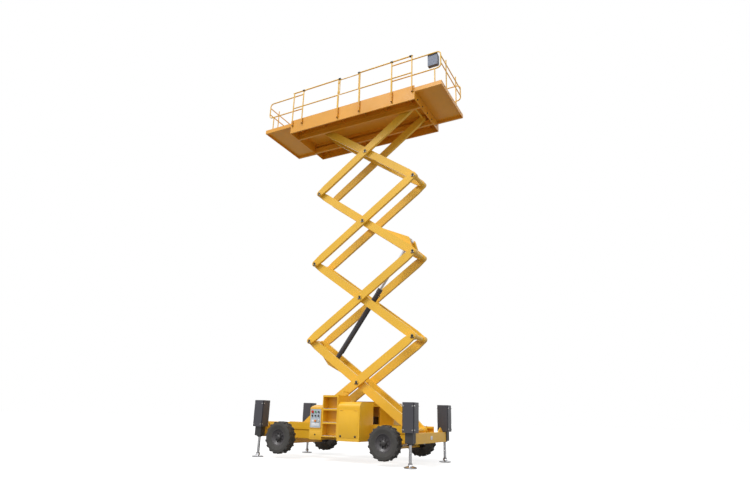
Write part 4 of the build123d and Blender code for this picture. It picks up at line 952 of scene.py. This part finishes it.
class LIFT_OT_stage(bpy.types.Operator):
    """Lays the pale floor, sets the soft lights and the camera"""

    bl_idname = "lift.stage"
    bl_label = "Stage"

    def execute(self, context):
        s = stage_settings()
        scene = context.scene
        bm = bmesh.new()
        bmesh.ops.create_circle(bm, cap_ends=True, segments=96, radius=s.floor_radius)
        mesh = bpy.data.meshes.new("floor")
        bm.to_mesh(mesh)
        bm.free()
        floor = bpy.data.objects.new("floor", mesh)
        scene.collection.objects.link(floor)
        mesh.materials.append(self.floor_finish())
        self.sky(s.sky_light)
        self.sun("key_light", s.key_light, 28, (38, 0, -20))
        self.sun("fill_light", s.fill_light, 60, (58, 0, 55))
        camera = bpy.data.cameras.new("camera")
        camera.lens = s.lens
        camera.sensor_width = 36
        camera.clip_end = 400
        holder = bpy.data.objects.new("camera", camera)
        scene.collection.objects.link(holder)
        right = Vector(CAMERA_RIGHT).normalized()
        ahead = Vector(CAMERA_AHEAD)
        ahead = (ahead - right * ahead.dot(right)).normalized()
        up = right.cross(ahead)
        turn = Matrix((right, up, -ahead)).transposed()
        holder.matrix_world = Matrix.Translation(CAMERA_PLACE) @ turn.to_4x4()
        scene.camera = holder
        scene.view_settings.view_transform = "Standard"
        return {"FINISHED"}

    def floor_finish(self):
        """Pale matt floor that shows as white to the camera and keeps the shadows."""
        material = bpy.data.materials.new("finish_floor")
        material.use_nodes = True
        tree = material.node_tree
        tree.nodes.clear()
        out = tree.nodes.new("ShaderNodeOutputMaterial")
        matt = tree.nodes.new("ShaderNodeBsdfDiffuse")
        matt.inputs["Color"].default_value = FLOOR_GREY
        glow = tree.nodes.new("ShaderNodeEmission")
        glow.inputs["Strength"].default_value = FLOOR_GLOW
        both = tree.nodes.new("ShaderNodeAddShader")
        seen = tree.nodes.new("ShaderNodeLightPath")
        pick = tree.nodes.new("ShaderNodeMixShader")
        tree.links.new(matt.outputs[0], both.inputs[0])
        tree.links.new(glow.outputs[0], both.inputs[1])
        tree.links.new(seen.outputs["Is Camera Ray"], pick.inputs[0])
        tree.links.new(matt.outputs[0], pick.inputs[1])
        tree.links.new(both.outputs[0], pick.inputs[2])
        tree.links.new(pick.outputs[0], out.inputs["Surface"])
        return material

    def sky(self, strength):
        """Even light from all round, seen as plain white by the camera and in reflections."""
        world = bpy.data.worlds.new("sky")
        world.use_nodes = True
        bpy.context.scene.world = world
        tree = world.node_tree
        tree.nodes.clear()
        out = tree.nodes.new("ShaderNodeOutputWorld")
        light = tree.nodes.new("ShaderNodeBackground")
        light.inputs["Strength"].default_value = strength
        plain = tree.nodes.new("ShaderNodeBackground")
        plain.inputs["Strength"].default_value = 1.0
        for node in (light, plain):
            node.inputs["Color"].default_value = (1, 1, 1, 1)
        seen = tree.nodes.new("ShaderNodeLightPath")
        first = tree.nodes.new("ShaderNodeMath")
        first.operation = "MAXIMUM"
        second = tree.nodes.new("ShaderNodeMath")
        second.operation = "MAXIMUM"
        pick = tree.nodes.new("ShaderNodeMixShader")
        tree.links.new(seen.outputs["Is Camera Ray"], first.inputs[0])
        tree.links.new(seen.outputs["Is Glossy Ray"], first.inputs[1])
        tree.links.new(first.outputs[0], second.inputs[0])
        tree.links.new(seen.outputs["Is Transmission Ray"], second.inputs[1])
        tree.links.new(second.outputs[0], pick.inputs[0])
        tree.links.new(light.outputs[0], pick.inputs[1])
        tree.links.new(plain.outputs[0], pick.inputs[2])
        tree.links.new(pick.outputs[0], out.inputs["Surface"])

    def sun(self, name, strength, softness, turn):
        """A far light, its softness and turn in degrees."""
        lamp = bpy.data.lights.new(name, "SUN")
        lamp.energy = strength
        lamp.angle = math.radians(softness)
        holder = bpy.data.objects.new(name, lamp)
        holder.rotation_euler = [math.radians(a) for a in turn]
        bpy.context.scene.collection.objects.link(holder)


# ------------------------------------------------------------------ panel and registration

OPERATORS = (
    LIFT_OT_paint,
    LIFT_OT_pin_fittings,
    LIFT_OT_wheel_fittings,
    LIFT_OT_jack_fittings,
    LIFT_OT_ground_control,
    LIFT_OT_cover_fittings,
    LIFT_OT_step_treads,
    LIFT_OT_cylinder_fittings,
    LIFT_OT_platform_fittings,
    LIFT_OT_console,
    LIFT_OT_stage,
)


class LIFT_PT_sidebar(bpy.types.Panel):
    """Lists the settings and the pieces in the sidebar"""

    bl_idname = "LIFT_PT_sidebar"
    bl_label = "Scissor lift"
    bl_space_type = "VIEW_3D"
    bl_region_type = "UI"
    bl_category = "Scissor lift"

    def draw(self, context):
        for settings in (context.scene.lift_paint, context.scene.lift_fittings, context.scene.lift_stage):
            box = self.layout.box()
            for key in settings.__annotations__:
                box.prop(settings, key)
        column = self.layout.column()
        for operator in OPERATORS:
            column.operator(operator.bl_idname)


SETTINGS = (PaintSettings, FittingSettings, StageSettings)


def register():
    """Adds the settings, the operators and the panel."""
    for cls in SETTINGS + OPERATORS + (LIFT_PT_sidebar,):
        bpy.utils.register_class(cls)
    bpy.types.Scene.lift_paint = bpy.props.PointerProperty(type=PaintSettings)
    bpy.types.Scene.lift_fittings = bpy.props.PointerProperty(type=FittingSettings)
    bpy.types.Scene.lift_stage = bpy.props.PointerProperty(type=StageSettings)


def unregister():
    del bpy.types.Scene.lift_stage
    del bpy.types.Scene.lift_fittings
    del bpy.types.Scene.lift_paint
    for cls in reversed(SETTINGS + OPERATORS + (LIFT_PT_sidebar,)):
        bpy.utils.unregister_class(cls)


def main():
    """Dresses the lift piece by piece."""
    register()
    for operator in OPERATORS:
        group, name = operator.bl_idname.split(".")
        getattr(getattr(bpy.ops, group), name)()


if __name__ == "__main__":
    main()
